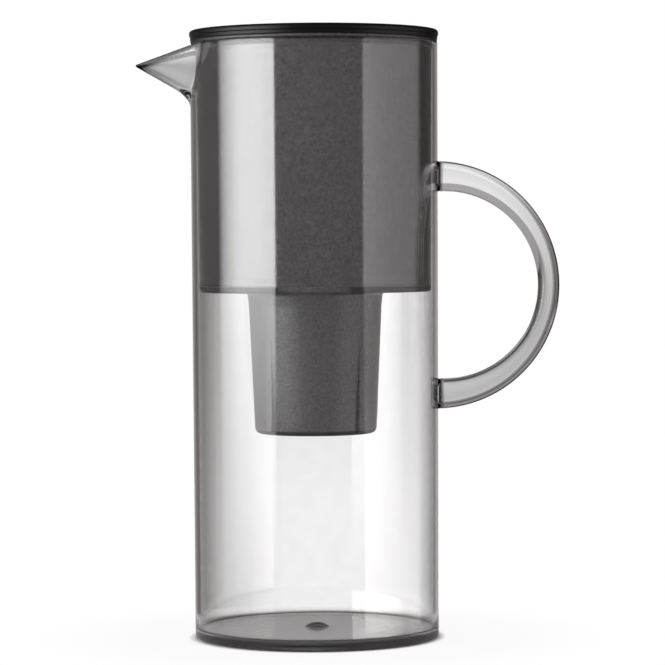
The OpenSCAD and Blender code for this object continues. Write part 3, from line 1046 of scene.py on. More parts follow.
@dataclass
class JugBody:
    """The clear vessel with its beak, the low dome in its floor and the two weld pads.

    The rows are the lowest and highest ring of a stretch of wall, and the number of rings in it.
    """

    wall: float = 0.0023
    taper: float = 0.0008
    floor: float = 0.0046
    floor_fillet: float = 0.0008
    floor_guard: float = 0.004
    bore_lean: float = 0.00001
    foot_edge: float = 0.0015
    foot_ring: float = 0.008
    foot_guard: float = 0.004
    recess: float = 0.0008
    recess_edge: float = 0.0003
    dome_radius: float = 0.00585
    dome_rise: float = 0.0022
    dome_guard: float = 0.0004
    beak_drop: float = 0.0096
    beak_half_angle: float = math.radians(39.0)
    beak_keel: float = math.radians(30.0)
    beak_lip: float = math.radians(16.5)
    beak_wall: float = 0.002
    beak_tip: float = 0.0008
    beak_from: float = 0.236
    beak_longest: float = 0.1
    root_soft: float = 0.0085
    root_side: float = 0.0012
    root_spread: float = math.radians(7.0)
    mouth_soft: float = 0.003
    lip_edge: float = 0.0007
    lip_lowest: float = 0.250
    pad_tall: float = 0.0142
    pad_wide: float = 0.0132
    pad_corner: float = 0.0034
    pad_edge: float = 0.00012
    handle_height: float = 0.1646
    handle_middle: float = 0.0508
    # Shares of painted shade along the keel, over the rim and near the tip.
    keel_shade: float = 0.8
    keel_spread: float = math.radians(4.5)
    keel_proud: float = 0.004
    lip_proud: float = 0.003
    pad_proud: float = 0.0002
    rim_shade: float = 0.6
    tip_from: float = 0.068
    tip_length: float = 0.012
    tip_shades: tuple[float, ...] = (1.0, 0.7)
    ahead: float = 0.9
    plain_rows: tuple[Row, ...] = ((0.0024, 0.104, 8), (0.126, 0.205, 7), (0.227, beak_from, 3))
    pad_rows: tuple[float, ...] = (-0.0006, -0.0004, -0.00024, -0.00012, 0.0, 0.00012, 0.0003)
    pad_inset: float = 0.0009
    pad_turns: tuple[float, ...] = (-0.6, -0.42, -0.26, -0.16, -0.08, 0.0, 0.08, 0.2)
    pad_flat: float = 0.9
    side_turns: Limits = (7.4, 144.0)
    beak_spread: float = math.radians(36.0)
    beak_bunch: float = 1.5

    def __post_init__(self) -> None:
        """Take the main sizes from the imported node."""
        low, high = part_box("jug_body")
        self.rim_height = high.z
        self.rim_radius = high.y
        self.base_radius = self.rim_radius - self.taper
        self.bore = self.base_radius - self.wall
        self.floor_corner = self.floor + self.floor_fillet
        self.tip_x = low.x
        self.tip_z = self.rim_height - self.beak_drop
        self.pad_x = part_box("handle")[0].x

    def leaning(self, radius: float, start: float, height: Array) -> Array:
        """Radius at a height of a wall that has a given radius at its start."""
        return radius + self.taper * ((height - start) / (self.rim_height - start))

    def wall_radius(self, height: Array) -> Array:
        """Outer radius of the body at a height."""
        return self.leaning(self.base_radius, self.foot_edge, height)

    def bore_radius(self, height: Array) -> Array:
        """Inner radius of the body at a height."""
        return self.leaning(self.bore, self.floor_corner, height)

    def cone_reach(self, angle: Array, height: Array, shift: float) -> Array:
        """Distance from the jug's axis at which a ray leaves the beak's cone.

        Args:
            angle: The ray's direction round the axis.
            height: The ray's height.
            shift: How far the cone starts behind the tip, along its own axis.

        Returns:
            The distance, or 0 where the cone isn't met.
        """
        tilt = self.beak_half_angle - self.beak_keel
        axis_x, axis_z = math.cos(tilt), math.sin(tilt)
        cos2 = math.cos(self.beak_half_angle) ** 2
        back = shift - self.beak_tip / math.tan(self.beak_half_angle)
        from_x = -(self.tip_x + back * axis_x)
        from_z = height - (self.tip_z + back * axis_z)
        ray_x = np.cos(angle)
        ray_axis = ray_x * axis_x
        from_axis = from_x * axis_x + from_z * axis_z
        a = ray_axis**2 - cos2
        b = 2.0 * (from_axis * ray_axis - cos2 * from_x * ray_x)
        c = from_axis**2 - cos2 * (from_x**2 + from_z**2)
        a = np.where(np.abs(a) < 1e-9, 1e-9, a)
        inside = b * b - 4.0 * a * c
        reach = (-b - np.sqrt(np.maximum(inside, 0.0))) / (2.0 * a)
        blunt_x = -self.tip_x - shift * axis_x
        blunt_z = height - self.tip_z - shift * axis_z
        along = np.where(ray_axis < -1e-6, ray_axis, -1e-6)
        blunt = -(blunt_x * axis_x + blunt_z * axis_z) / along
        met = (c > 0.0) & (ray_x < -0.5) & (inside > 0.0)
        return np.where(met, np.clip(np.minimum(reach, blunt), 0.0, self.beak_longest), 0.0)

    def outer(self, angle: Array, height: Array) -> Array:
        """Outer radius of the body, with beak and weld pads.

        Args:
            angle: Directions round the axis.
            height: Heights.

        Returns:
            The radii.
        """
        cone = self.cone_reach(angle, height, 0.0)
        from_keel = (math.pi - np.abs(angle)) / self.root_spread
        soft = self.root_side + (self.root_soft - self.root_side) * np.exp(-from_keel**2)
        radius = join_radii(self.wall_radius(height), cone, soft, Blend.OUTER)
        cosine = np.maximum(np.cos(angle), 0.2)
        across = self.pad_x * np.sin(angle) / cosine
        ahead = np.cos(angle) > self.ahead
        for side in (-1.0, 1.0):
            rise = np.abs(height - self.handle_height - side * self.handle_middle)
            rise = rise - self.pad_tall / 2.0 + self.pad_corner
            wide = np.abs(across) - self.pad_wide / 2.0 + self.pad_corner
            away = np.hypot(np.maximum(rise, 0.0), np.maximum(wide, 0.0))
            away = away + np.minimum(np.maximum(rise, wide), 0.0) - self.pad_corner
            share = np.where(ahead, np.clip(-away / (2.0 * self.pad_edge), 0.0, 1.0), 0.0)
            radius = radius + (self.pad_x / cosine - radius) * share
        return radius

    def inner(self, angle: Array, height: Array) -> Array:
        """Inner radius of the body, with the beak's channel."""
        cone = self.cone_reach(angle, height, self.beak_wall / math.sin(self.beak_half_angle))
        return join_radii(self.bore_radius(height), cone, self.mouth_soft, Blend.OUTER)

    def lip_height(self, angle: Array, inside: bool) -> Array:
        """Height of the mouth's edge, level at the rim and sloping along the beak.

        Args:
            angle: Directions round the axis.
            inside: True for the inner edge.

        Returns:
            The heights.
        """
        wall = self.inner if inside else self.outer
        low = np.full_like(angle, self.lip_lowest)
        high = np.full_like(angle, self.rim_height)
        for _ in range(40):
            middle = (low + high) / 2.0
            lip = self.tip_z + (wall(angle, middle) * np.cos(angle) - self.tip_x) * math.tan(self.beak_lip)
            above = middle > lip
            high = np.where(above, middle, high)
            low = np.where(above, low, middle)
        lip = self.tip_z + (wall(angle, high) * np.cos(angle) - self.tip_x) * math.tan(self.beak_lip)
        return np.where(lip < self.rim_height - 1e-7, high, self.rim_height)

    def directions(self) -> Array:
        """Spread directions round the axis, closest at the weld pads and the beak.

        Returns:
            The directions.
        """
        edge = math.degrees(math.atan(self.pad_wide / 2.0 / self.pad_x))
        flat = np.linspace(0.0, edge - self.pad_flat, 11)
        pads = np.radians(np.concatenate([flat, edge + np.array(self.pad_turns)]))
        side = np.radians(np.linspace(*self.side_turns, 60))
        beak = math.pi - self.beak_spread * np.linspace(1.0, 0.0, 36)[1:] ** self.beak_bunch
        return both_sides(np.concatenate([pads, side, beak]))

    def wall_heights(self) -> Array:
        """Spread rings between the foot and the beak, closest at the weld pads.

        Returns:
            The heights.
        """
        stops = [np.linspace(*row) for row in self.plain_rows]
        for side in (-1.0, 1.0):
            middle = self.handle_height + side * self.handle_middle
            half = self.pad_tall / 2.0
            stops.append(np.linspace(middle - half + self.pad_inset, middle + half - self.pad_inset, 17))
            for offset in self.pad_rows:
                stops.append(np.array([middle - half - offset, middle + half + offset]))
        return np.unique(np.concatenate(stops))

    def foot(self) -> Array:
        """Draw the underside from the axis over the recess to the foot's edge.

        Returns:
            The profile.
        """
        recess = self.base_radius - self.foot_edge - self.foot_ring
        foot = rounded([
            (0.0, self.recess, 0.0), (recess, self.recess, self.recess_edge),
            (recess, 0.0, self.recess_edge), (self.base_radius, 0.0, self.foot_edge),
            (self.base_radius, self.foot_guard, 0.0),
        ], 6)
        return divided(foot[:-2], 0.012)

    def inner_floor(self) -> Array:
        """Draw the inner floor from its corner over the low dome to the axis.

        Returns:
            The profile.
        """
        floor = rounded([
            (self.bore + self.bore_lean, self.floor_corner + self.floor_guard, 0.0),
            (self.bore, self.floor, self.floor_fillet),
            (self.dome_radius + self.dome_guard, self.floor, 0.0), (self.dome_radius, self.floor, 0.0),
        ], 10)[1:]
        ball = (self.dome_radius**2 + self.dome_rise**2) / (2.0 * self.dome_rise)
        swing = math.asin(self.dome_radius / ball) * np.linspace(1.0, 0.0, 9)[1:]
        height = self.floor + self.dome_rise - ball * (1.0 - np.cos(swing))
        return np.concatenate([divided(floor, 0.006), np.column_stack([ball * np.sin(swing), height])])

    def marks(self, stack: RingStack, top: Array, lip: range) -> Array:
        """Paint shade along the edges of beak and mouth, and mark the weld pads as dark joints.

        Args:
            stack: The vessel's rings.
            top: The height of the mouth's outer edge.
            lip: The numbers of the rings that go over the lip.

        Returns:
            How much each point is darkened, from 0 to 1.
        """
        angle = stack.angle
        marks = np.zeros((len(stack.rows), len(angle)))
        # Painted shade along the beak's keel; the weld pads are darkened in full as dark joints.
        keel = np.exp(-((math.pi - np.abs(angle)) / self.keel_spread) ** 2)
        for row, (radius, height) in enumerate(stack.rows[:lip.start]):
            proud = radius - self.wall_radius(height)
            marks[row] = self.keel_shade * keel * np.clip(proud / self.keel_proud, 0.0, 1.0)
            marks[row, (np.cos(angle) > self.ahead) & (proud > self.pad_proud)] = 1.0
        # Painted shade over the lip, the rim and near the tip.
        reach = self.outer(angle, top)
        on_beak = np.clip((reach - self.wall_radius(top)) / self.lip_proud, 0.0, 1.0)
        near_tip = on_beak * np.clip((reach - self.tip_from) / self.tip_length, 0.0, 1.0)
        marks[lip.start - 2:lip.stop + 2] = on_beak
        marks[lip.start - 1:lip.stop + 1] = np.maximum(on_beak, self.rim_shade)
        for below, share in enumerate(self.tip_shades, 3):
            marks[lip.start - below] = np.maximum(marks[lip.start - below], share * near_tip)
        return marks

    def mesh(self) -> Mesh:
        """Build the vessel as one closed skin, up the outside, over the lip and down the inside.

        Returns:
            The mesh.
        """
        stack = RingStack(self.directions())
        angle, edge = stack.angle, self.lip_edge
        stack.level(self.foot())
        stack.follow(self.outer, self.wall_heights())
        top = self.lip_height(angle, False)
        inside = self.lip_height(angle, True)
        rise = top - edge - self.beak_from
        stack.follow(self.outer, (self.beak_from + rise * share for share in np.linspace(0.0, 1.0, 46)[1:]))
        outer_lip = np.stack([self.outer(angle, top), top])
        inner_lip = np.stack([self.inner(angle, inside), inside])
        across = (inner_lip - outer_lip) / np.linalg.norm(inner_lip - outer_lip, axis=0)
        low_out = np.stack([self.outer(angle, top - edge), top - edge])
        low_in = np.stack([self.inner(angle, inside - edge), inside - edge])
        start = len(stack.rows)
        for first, corner, last, shares in (
            (low_out, outer_lip, outer_lip + edge * across, (0.25, 0.5, 0.75, 1.0)),
            (inner_lip - edge * across, inner_lip, low_in, (0.0, 0.25, 0.5, 0.75)),
        ):
            for share in shares:
                rest = 1.0 - share
                stack.add(*(first * rest**2 + corner * 2.0 * share * rest + last * share**2))
        lip = range(start, len(stack.rows))
        rise = inside - edge - self.beak_from
        stack.follow(self.inner, (self.beak_from + rise * share for share in np.linspace(1.0, 0.0, 44)))
        stack.follow(self.inner, np.linspace(self.beak_from, self.floor_corner, 14)[1:-1])
        stack.level(self.inner_floor())
        return skin_mesh("jug_vessel", stack.points(), False, self.marks(stack, top, lip))

    def build(self, finishes: Finishes) -> None:
        """Build and dress the vessel."""
        place("jug_vessel", self.mesh(), finishes.clear.make(), Body.JUG, Slot.CLEAR_SMOKE, "jug_body")


@dataclass
class HoopHandle:
    """The clear hoop of rounded section, thinner at its middle than at its ends.

    The lines are painted shade along the rounded edges: how far an edge leans in degrees, and how dark
    it is there. A fade is the strength of the lines half way down, and its growth towards the lower end.
    """

    thickness: float = 0.0142
    thinning: float = 0.0042
    width: float = 0.0132
    edge: float = 0.0034
    crown: float = 0.00025
    weld_gap: float = 0.00006
    weld_marks: tuple[float, ...] = (1.0, 1.0, 0.5)
    outer_lines: Levels = ((0.0, 1.0), (36.0, 1.0), (49.0, 0.0))
    face_lines: Levels = ((60.5, 0.0), (67.5, 1.0), (75.0, 0.7), (82.0, 0.0))
    face_fade: Limits = (1.1, 1.3)
    inner_lines: Levels = ((23.0, 0.0), (37.0, 1.0), (53.0, 1.0), (66.0, 0.0))
    inner_fade: Limits = (0.2, 1.6)
    steps: int = 160
    edge_steps: int = 12
    face_steps: int = 6

    def __post_init__(self) -> None:
        """Take the hoop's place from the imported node."""
        low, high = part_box("handle")
        self.root_x = low.x
        self.middle_z = (low.z + high.z) / 2.0
        self.middle = (high.z - low.z) / 2.0 - self.thickness / 2.0

    def half(self, turn: float) -> float:
        """Half the thickness in the hoop's plane, at a place along the hoop."""
        return (self.thickness - self.thinning * math.cos(turn)) / 2.0

    def section(self, half: float) -> Array:
        """Outline of the section, with rounded edges and slightly crowned faces.

        Args:
            half: Half its thickness in the hoop's plane.

        Returns:
            Places out from the hoop's middle line and across it.
        """
        flank = self.width / 2.0
        turns = np.linspace(0.0, QUARTER_TURN, self.edge_steps + 1)
        shares = np.linspace(0.0, 1.0, self.face_steps + 1)[1:-1, None]
        arcs = []
        for corner, (out, across) in enumerate(((1, 1), (-1, 1), (-1, -1), (1, -1))):
            around = turns + corner * QUARTER_TURN
            arc = self.edge * np.stack([np.cos(around), np.sin(around)], axis=1)
            arcs.append(arc + np.array([out * (half - self.edge), across * (flank - self.edge)]))
        runs = []
        for arc, after in zip(arcs, arcs[1:] + arcs[:1]):
            runs += [arc, arc[-1] + (after[0] - arc[-1]) * shares]
        ring = np.concatenate(runs)
        crowned = ring.copy()
        crowned[:, 0] -= np.sign(ring[:, 0]) * self.crown * (ring[:, 1] / flank) ** 2
        crowned[:, 1] -= np.sign(ring[:, 1]) * self.crown * (ring[:, 0] / half) ** 2
        return crowned

    def lines(self, turn: float) -> Array:
        """Paint lines of shade along the hoop's rounded edges.

        Args:
            turn: The place along the hoop, a quarter turn at its upper end.

        Returns:
            How dark each place of the section is, from 0 to 1.
        """
        half = self.half(turn)
        out = self.section(half)[:, 0]
        depth = np.clip((half - np.abs(out)) / self.edge, 0.0, 1.0)
        lean = np.degrees(np.arccos(1.0 - depth))
        lean = np.where(np.abs(out) > half - self.edge, lean, 90.0)
        outer, face, inner = (
            np.interp(lean, *zip(*row)) for row in (self.outer_lines, self.face_lines, self.inner_lines)
        )
        face_share, inner_share = (
            np.clip(level - growth * math.sin(turn), 0.0, 1.0)
            for level, growth in (self.face_fade, self.inner_fade)
        )
        return np.where(out > 0.0, np.maximum(outer, face * face_share), inner * inner_share)

    def mesh(self) -> Mesh:
        """Build the hoop as one closed skin, from one bonded end to the other.

        Returns:
            The mesh.
        """
        rings = []
        turns = np.linspace(QUARTER_TURN, -QUARTER_TURN, self.steps)
        for turn in turns:
            flat = self.section(self.half(turn))
            reach = self.middle + flat[:, 0]
            rings.append(np.stack([
                self.root_x + np.maximum(reach * math.cos(turn), self.weld_gap),
                flat[:, 1],
                self.middle_z + reach * math.sin(turn),
            ], axis=1))
        poles = [np.repeat(ring.mean(axis=0)[None, :], len(ring), axis=0) for ring in (rings[0], rings[-1])]
        points = np.array([poles[0], *rings, poles[1]])
        marks = np.zeros(points.shape[:2])
        # Painted shade along the edges; the rows at both ends are darkened as dark weld joints.
        marks[1:-1] = [self.lines(turn) for turn in turns]
        for row, share in enumerate(self.weld_marks):
            marks[[row, -1 - row]] = share
        return skin_mesh("hoop_handle", points, False, marks)

    def build(self, finishes: Finishes) -> None:
        """Build and dress the hoop."""
        place("hoop_handle", self.mesh(), finishes.hoop.make(), Body.JUG, Slot.CLEAR_SMOKE, "handle")


@dataclass
class Hopper:
    """The smoke hopper with its flange, pouring flat, pouring flute and ribbed socket.

    The rows are two distances from the flute's stop, and the number of rings between them.
    """

    wall: float = 0.002
    top_radius: float = 0.0551
    low_radius: float = 0.0543
    edge: float = 0.0015
    inner_edge: float = 0.0012
    floor: float = 0.0031
    floor_fall: float = 0.0006
    floor_start: float = 0.040
    inner_start: float = 0.050
    inner_guard: float = 0.00002
    flange: float = 0.0013
    collar_radius: float = 0.0553
    collar: float = 0.003
    collar_guard: float = 0.0004
    underside: float = 0.1618
    flat_depth: float = 0.0017
    flat_draft: float = math.tan(math.radians(1.3))
    flat_ahead: float = 0.85
    flute_radius: float = 0.0079
    flute_depth: float = 0.004
    flute_stop: float = 0.0106
    flute_fade: float = 0.0006
    outer_rows: tuple[Row, ...] = ((-0.0008, 0.0003, 8),)
    inner_rows: tuple[Row, ...] = ((0.0024, 0.0008, 10),)
    bore: float = 0.0298
    seat: float = 0.0062
    ledge: float = 0.0283
    socket_top: float = 0.0318
    socket_middle: float = 0.0311
    socket_low: float = 0.0284
    socket_floor: float = 0.0024
    socket_edge: float = 0.003
    soft: float = 0.0008
    near_beak: float = 18.0
    rib_count: int = 4
    rib_width: float = 0.0035
    rib_reach: float = 0.0305
    rib_lift: float = 0.0014
    rib_rise: float = 0.0524
    rib_roots: Limits = (0.0269, 0.0292)
    rib_edge: float = 0.0004
    drain_count: int = 8
    drain_ring: float = 0.016
    drain: float = 0.005
    drill_below: float = 0.002
    drill_above: float = 0.004

    def __post_init__(self) -> None:
        """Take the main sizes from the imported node."""
        low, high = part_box("hopper")
        self.bottom = low.z
        self.flange_top = high.z
        self.rim = self.flange_top - self.flange
        self.flange_radius = high.y
        self.flute_x = self.top_radius + self.flute_radius - self.flute_depth
        self.ledge_z = self.underside - self.seat
        self.stop = self.rim - self.flute_stop

    def wall_radius(self, angle: Array, height: Array, inset: float = 0.0) -> Array:
        """Radius of the hopper's wall with its pouring flat and flute.

        Args:
            angle: Directions round the axis.
            height: Heights.
            inset: 0 for the outside, the wall's thickness for the inside.

        Returns:
            The radii.
        """
        start = self.underside + self.edge
        share = (height - start) / (self.rim - start)
        radius = self.low_radius + (self.top_radius - self.low_radius) * share - inset
        ahead = np.maximum(-np.cos(angle), 0.2)
        flat = self.low_radius - self.flat_depth - inset + self.flat_draft * (height - self.underside)
        flat = np.where(-np.cos(angle) > self.flat_ahead, flat / ahead, NEVER)
        radius = join_radii(radius, flat, self.soft, Blend.INNER)
        left = (self.flute_radius + inset) ** 2 - (self.flute_x * np.sin(angle)) ** 2
        flute = self.flute_x * ahead - np.sqrt(np.maximum(left, 0.0))
        flute = np.where((left > 0.0) & (np.cos(angle) < 0.0), flute, NEVER)
        fade = np.clip((height - self.stop - inset) / self.flute_fade + 1.0, 0.0, 1.0)
        cut = join_radii(radius, flute, self.soft, Blend.INNER)
        return cut + (radius - cut) * fade

    def from_stop(self, rows: Iterable[Row]) -> list[Array]:
        """Heights of rows of rings near the flute's stop."""
        return [np.linspace(self.stop + start, self.stop + end, count) for start, end, count in rows]

    def mesh(self) -> Mesh:
        """Build the hopper as one closed skin, up the outside and down the inside.

        Returns:
            The mesh.
        """
        near = math.pi - np.radians(np.linspace(self.near_beak, 0.0, 37))
        side = np.radians(np.linspace(0.0, 180.0 - self.near_beak, 76))[:-1]
        stack = RingStack(both_sides(np.concatenate([side, near])))
        angle, inside = stack.angle, partial(self.wall_radius, inset=self.wall)
        low_z, collar_z = self.underside + self.edge, self.rim - self.collar
        cup = rounded([
            (0.0, self.bottom, 0.0), (self.socket_low, self.bottom, self.socket_edge),
            (self.socket_middle, self.ledge_z, 0.004), (self.socket_top, self.underside, 0.002),
            (self.floor_start, self.underside, 0.0),
        ], 7)
        stack.level(divided(cup, 0.004))
        low = self.wall_radius(angle, stack.even(low_z))
        for share in (0.4, 0.8):
            stack.add(self.floor_start + (low - self.edge - self.floor_start) * share, self.underside)
        for swing in np.linspace(0.0, QUARTER_TURN, 7):
            height = self.underside + self.edge * (1.0 - math.cos(swing))
            stack.add(low - self.edge * (1.0 - math.sin(swing)), height)
        stack.follow(self.wall_radius, np.concatenate([
            np.linspace(low_z, self.stop - 0.002, 40)[1:], *self.from_stop(self.outer_rows),
            np.linspace(self.stop + 0.001, collar_z - self.collar_guard, 6),
        ]))
        inner = self.top_radius - self.wall
        stack.level(rounded([
            (self.top_radius, collar_z, 0.0), (self.collar_radius, collar_z, 0.0001),
            (self.collar_radius, self.rim, 0.0002), (self.flange_radius, self.rim, 0.0004),
            (self.flange_radius, self.flange_top, 0.0005), (inner, self.flange_top, 0.0006),
            (inner, self.rim - 0.001, 0.0),
        ], 4))
        inner_floor = self.underside + self.floor
        corner_z = inner_floor + self.inner_edge
        stack.follow(inside, np.concatenate([
            np.linspace(self.rim - 0.002, self.stop + 0.0035, 5), *self.from_stop(self.inner_rows),
            np.linspace(self.stop - 0.001, corner_z, 40),
        ]))
        corner = inside(angle, stack.even(corner_z))
        for swing in np.linspace(0.0, QUARTER_TURN, 6)[1:]:
            height = inner_floor + self.inner_edge * (1.0 - math.sin(swing))
            stack.add(corner - self.inner_edge * (1.0 - math.cos(swing)), height)
        socket_z = self.bottom + self.socket_floor
        lower = rounded([
            (self.inner_start, inner_floor - self.inner_guard, 0.0),
            (self.bore, inner_floor - self.floor_fall, 0.0005), (self.bore, self.ledge_z, 0.0002),
            (self.ledge, self.ledge_z, 0.0003), (self.socket_low - self.wall, socket_z, 0.0015),
            (0.0, socket_z, 0.0),
        ], 5)
        stack.level(divided(lower, 0.005))
        return skin_mesh("smoke_hopper", stack.points(), False)

    def rib(self) -> Mesh:
        """Build one rib of the socket, whose root leans with the socket's wall.

        Returns:
            The rib's mesh, along X.
        """
        half = self.rib_width / 2.0
        ends = []
        for root, height in zip(self.rib_roots, (self.rib_lift, self.rib_rise)):
            flat = rounded([
                (root, -half, 0.0), (self.rib_reach, -half, self.rib_edge),
                (self.rib_reach, half, self.rib_edge), (root, half, 0.0),
            ], 4)
            ends.append(np.column_stack([flat, np.full(len(flat), self.bottom + height)]))
        return prism_mesh("rib", ends[0], ends[1])

    def build(self, finishes: Finishes) -> None:
        """Build and dress the hopper.

        Args:
            finishes: The finishes of the jug.
        """
        smoke = finishes.dark.make()
        first = math.pi / self.rib_count
        mesh = ToolRing(Joining.ADD).run(self.mesh(), smoke, self.rib(), self.rib_count, 0.0, first)
        low, high = self.bottom - self.drill_below, self.bottom + self.drill_above
        drill = upright("drill", round_outline(self.drain), low, high)
        cut = ToolRing(Joining.CUT)
        mesh = cut.run(mesh, smoke, drill)
        mesh = cut.run(mesh, smoke, drill, self.drain_count, self.drain_ring)
        place("smoke_hopper", mesh, smoke, Body.HOPPER, Slot.DARK_SMOKE, "hopper")


@dataclass
class Cartridge:
    """The filter cartridge: shell, cap with its grip, seal ring, screens, pads and the two beds."""

    wall: float = 0.0014
    floor: float = 0.0016
    top_radius: float = 0.0279
    low_radius: float = 0.0260
    ledge: float = 0.1556
    foot_edge: float = 0.0012
    groove: float = 0.0009
    hole: float = 0.0032
    hole_rings: int = 3
    hole_pitch: float = 0.0064
    cap_plate: float = 0.0018
    cap_skirt: float = 0.0014
    cap_gap: float = 0.0001
    slot_count: int = 12
    slot_width: float = 0.0022
    slot_round: float = 0.45
    slot_start: float = 0.013
    slot_length: float = 0.009
    slot_over: float = 0.001
    grip_length: float = 0.020
    grip_width: float = 0.0032
    grip_corner: float = 0.0045
    grip_edge: float = 0.0007
    grip_root: float = 0.0009
    seal_waist: float = 0.0006
    seal_lip: float = 0.27
    screen_hole: float = 0.002
    screen_pitch: float = 0.005
    screen_rings: int = 4
    screen_edge: float = 0.00015
    screen_drill: float = 0.004
    fill_gap: float = 0.00015
    grain: float = 0.0017
    bead: float = 0.0019
    grain_pitch: float = 0.8
    grain_seed: int = 11
    grain_crease: float = 25.0
    soft_crease: float = 80.0
    pad_edge: float = 0.0007
    pad_wave: float = 0.00012
    wave_numbers: Corner = (2100.0, 1900.0, 870.0)
    wave_start: float = 1.3
    wave_level: float = 2.0
    round_steps: int = 128
    screen_steps: int = 96
    bed_steps: int = 64

    def __post_init__(self) -> None:
        """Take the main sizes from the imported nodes."""
        low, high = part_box("cartridge_shell")
        self.bottom = low.z
        self.top = high.z
        self.collar_radius = high.y
        seal_low, seal_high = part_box("cartridge_seal")
        self.seal_heights = (seal_low.z, seal_high.z)
        self.seal_radius = seal_high.y
        self.groove_radius = self.collar_radius - self.groove
        self.inside = self.bottom + self.floor

    def cavity(self, height: float) -> float:
        """Inner radius of the shell at a height."""
        share = (height - self.inside) / (self.ledge - self.inside)
        return self.low_radius - self.wall + (self.top_radius - self.low_radius) * share

    def shell(self, finish: Material) -> Mesh:
        """Build the shell with its collar, groove and outlet holes.

        Args:
            finish: The shell's material.

        Returns:
            The mesh.
        """
        low, high = self.seal_heights
        inner = self.top_radius - self.wall
        profile = rounded([
            (0.0, self.bottom, 0.0), (self.low_radius, self.bottom, self.foot_edge),
            (self.top_radius, self.ledge, 0.0003), (self.collar_radius, self.ledge, 0.0004),
            (self.collar_radius, low, 0.0002), (self.groove_radius, low, 0.0001),
            (self.groove_radius, high, 0.0001), (self.collar_radius, high, 0.0002),
            (self.collar_radius, self.top, 0.0003), (inner, self.top, 0.0004), (inner, self.ledge, 0.0005),
            (self.low_radius - self.wall, self.inside, 0.0008), (0.0, self.inside, 0.0),
        ], 4)
        blank = spin_mesh("shell", divided(profile, 0.006), self.round_steps)
        return HoleRings().apply(
            blank, finish, Rings=self.hole_rings, Pitch=self.hole_pitch, Hole_Diameter=self.hole,
            Hole_Middle=self.bottom + self.floor / 2.0, Hole_Depth=3.0 * self.floor,
        )

    def cap(self, finish: Material) -> Mesh:
        """Build the cap with its skirt, inlet slots and finger grip.

        Args:
            finish: The cap's material.

        Returns:
            The mesh.
        """
        low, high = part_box("cartridge_cap")
        skirt = self.top_radius - self.wall - self.cap_gap
        plate_top = self.top + self.cap_plate
        profile = rounded([
            (0.0, self.top, 0.0), (skirt - self.cap_skirt, self.top, 0.0004),
            (skirt - self.cap_skirt, low.z, 0.0003), (skirt, low.z, 0.0005), (skirt, self.top, 0.0002),
            (self.collar_radius, self.top, 0.0002), (self.collar_radius, plate_top, 0.0006),
            (0.0, plate_top, 0.0),
        ], 4)
        blank = spin_mesh("cap", divided(profile, 0.006), self.round_steps)
        slot = upright("slot", box_outline(
            self.slot_start, self.slot_start + self.slot_length, self.slot_width,
            self.slot_width * self.slot_round,
        ), self.top - self.slot_over, plate_top + self.slot_over)
        slotted = ToolRing(Joining.CUT).run(blank, finish, slot, self.slot_count)
        return ToolRing(Joining.ADD).run(slotted, finish, self.grip(plate_top - self.grip_root, high.z))

    def grip(self, low: float, high: float) -> Mesh:
        """Build the finger grip with rounded corners and edges.

        Args:
            low: Its root inside the cap's plate.
            high: Its top.

        Returns:
            The mesh.
        """
        half = self.grip_length / 2.0
        side = rounded([
            (-half, low, 0.0), (half, low, 0.0), (half, high, self.grip_corner),
            (-half, high, self.grip_corner),
        ], 8, True)
        face = np.stack([side[:, 0], np.full(len(side), -self.grip_width / 2.0), side[:, 1]], axis=1)
        bm = bmesh.new()
        bm.from_mesh(prism_mesh("grip blank", face, face + np.array([0.0, self.grip_width, 0.0])))
        rims = [
            edge for edge in bm.edges
            if abs(edge.verts[0].co.y - edge.verts[1].co.y) < 1e-6
            and max(edge.verts[0].co.z, edge.verts[1].co.z) > low + 1e-5
        ]
        bmesh.ops.bevel(bm, geom=rims, offset=self.grip_edge, segments=3, affect="EDGES", profile=0.5)
        return plain_mesh("grip", bm)

    def seal(self) -> Mesh:
        """Build the seal ring with its two lips.

        Returns:
            The mesh.
        """
        low, high = self.seal_heights
        inner, outer = self.groove_radius, self.seal_radius
        waist = outer - self.seal_waist
        middle = (low + high) / 2.0
        lip = (high - low) * self.seal_lip
        profile = rounded([
            (inner, low, 0.0001), (waist, low, 0.0003), (outer, low + lip, 0.0003), (waist, middle, 0.0004),
            (outer, high - lip, 0.0003), (waist, high, 0.0003), (inner, high, 0.0001),
        ], 4, True)
        return spin_mesh("seal", profile, self.round_steps, True)

    def screen(self, node: str, finish: Material) -> Mesh:
        """Build a perforated screen in the place of its node.

        Args:
            node: The CAD node.
            finish: The screen's material.

        Returns:
            The mesh.
        """
        low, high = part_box(node)
        edge = self.screen_edge
        profile = disc_profile((high.y, low.z, edge), (high.y, high.z, edge), 3, 0.004)
        blank = spin_mesh(node, profile, self.screen_steps)
        return HoleRings().apply(
            blank, finish, Rings=self.screen_rings, Pitch=self.screen_pitch, Hole_Diameter=self.screen_hole,
            Hole_Middle=(low.z + high.z) / 2.0, Hole_Depth=self.screen_drill,
        )

    def pad(self, node: str) -> Mesh:
        """Build a fleece pad with soft edges and a slightly uneven face.

        Args:
            node: The CAD node.

        Returns:
            The mesh.
        """
        low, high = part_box(node)
        radius = self.cavity(low.z) - self.fill_gap
        edge = self.pad_edge
        profile = disc_profile((radius, low.z, edge), (radius, high.z, edge), 5, 0.0016)
        mesh = spin_mesh(node, profile, self.screen_steps)
        middle = (low.z + high.z) / 2.0
        first, second, third = self.wave_numbers
        for vertex in mesh.vertices:
            x, y, z = vertex.co
            wave = math.sin(x * first + self.wave_start) * math.sin(y * second) + math.sin((x + y) * third)
            sink = (middle - z) / (high.z - low.z) * self.pad_wave
            vertex.co.z = z + sink * (self.wave_level + wave)
        return smooth_mesh(mesh, self.soft_crease)

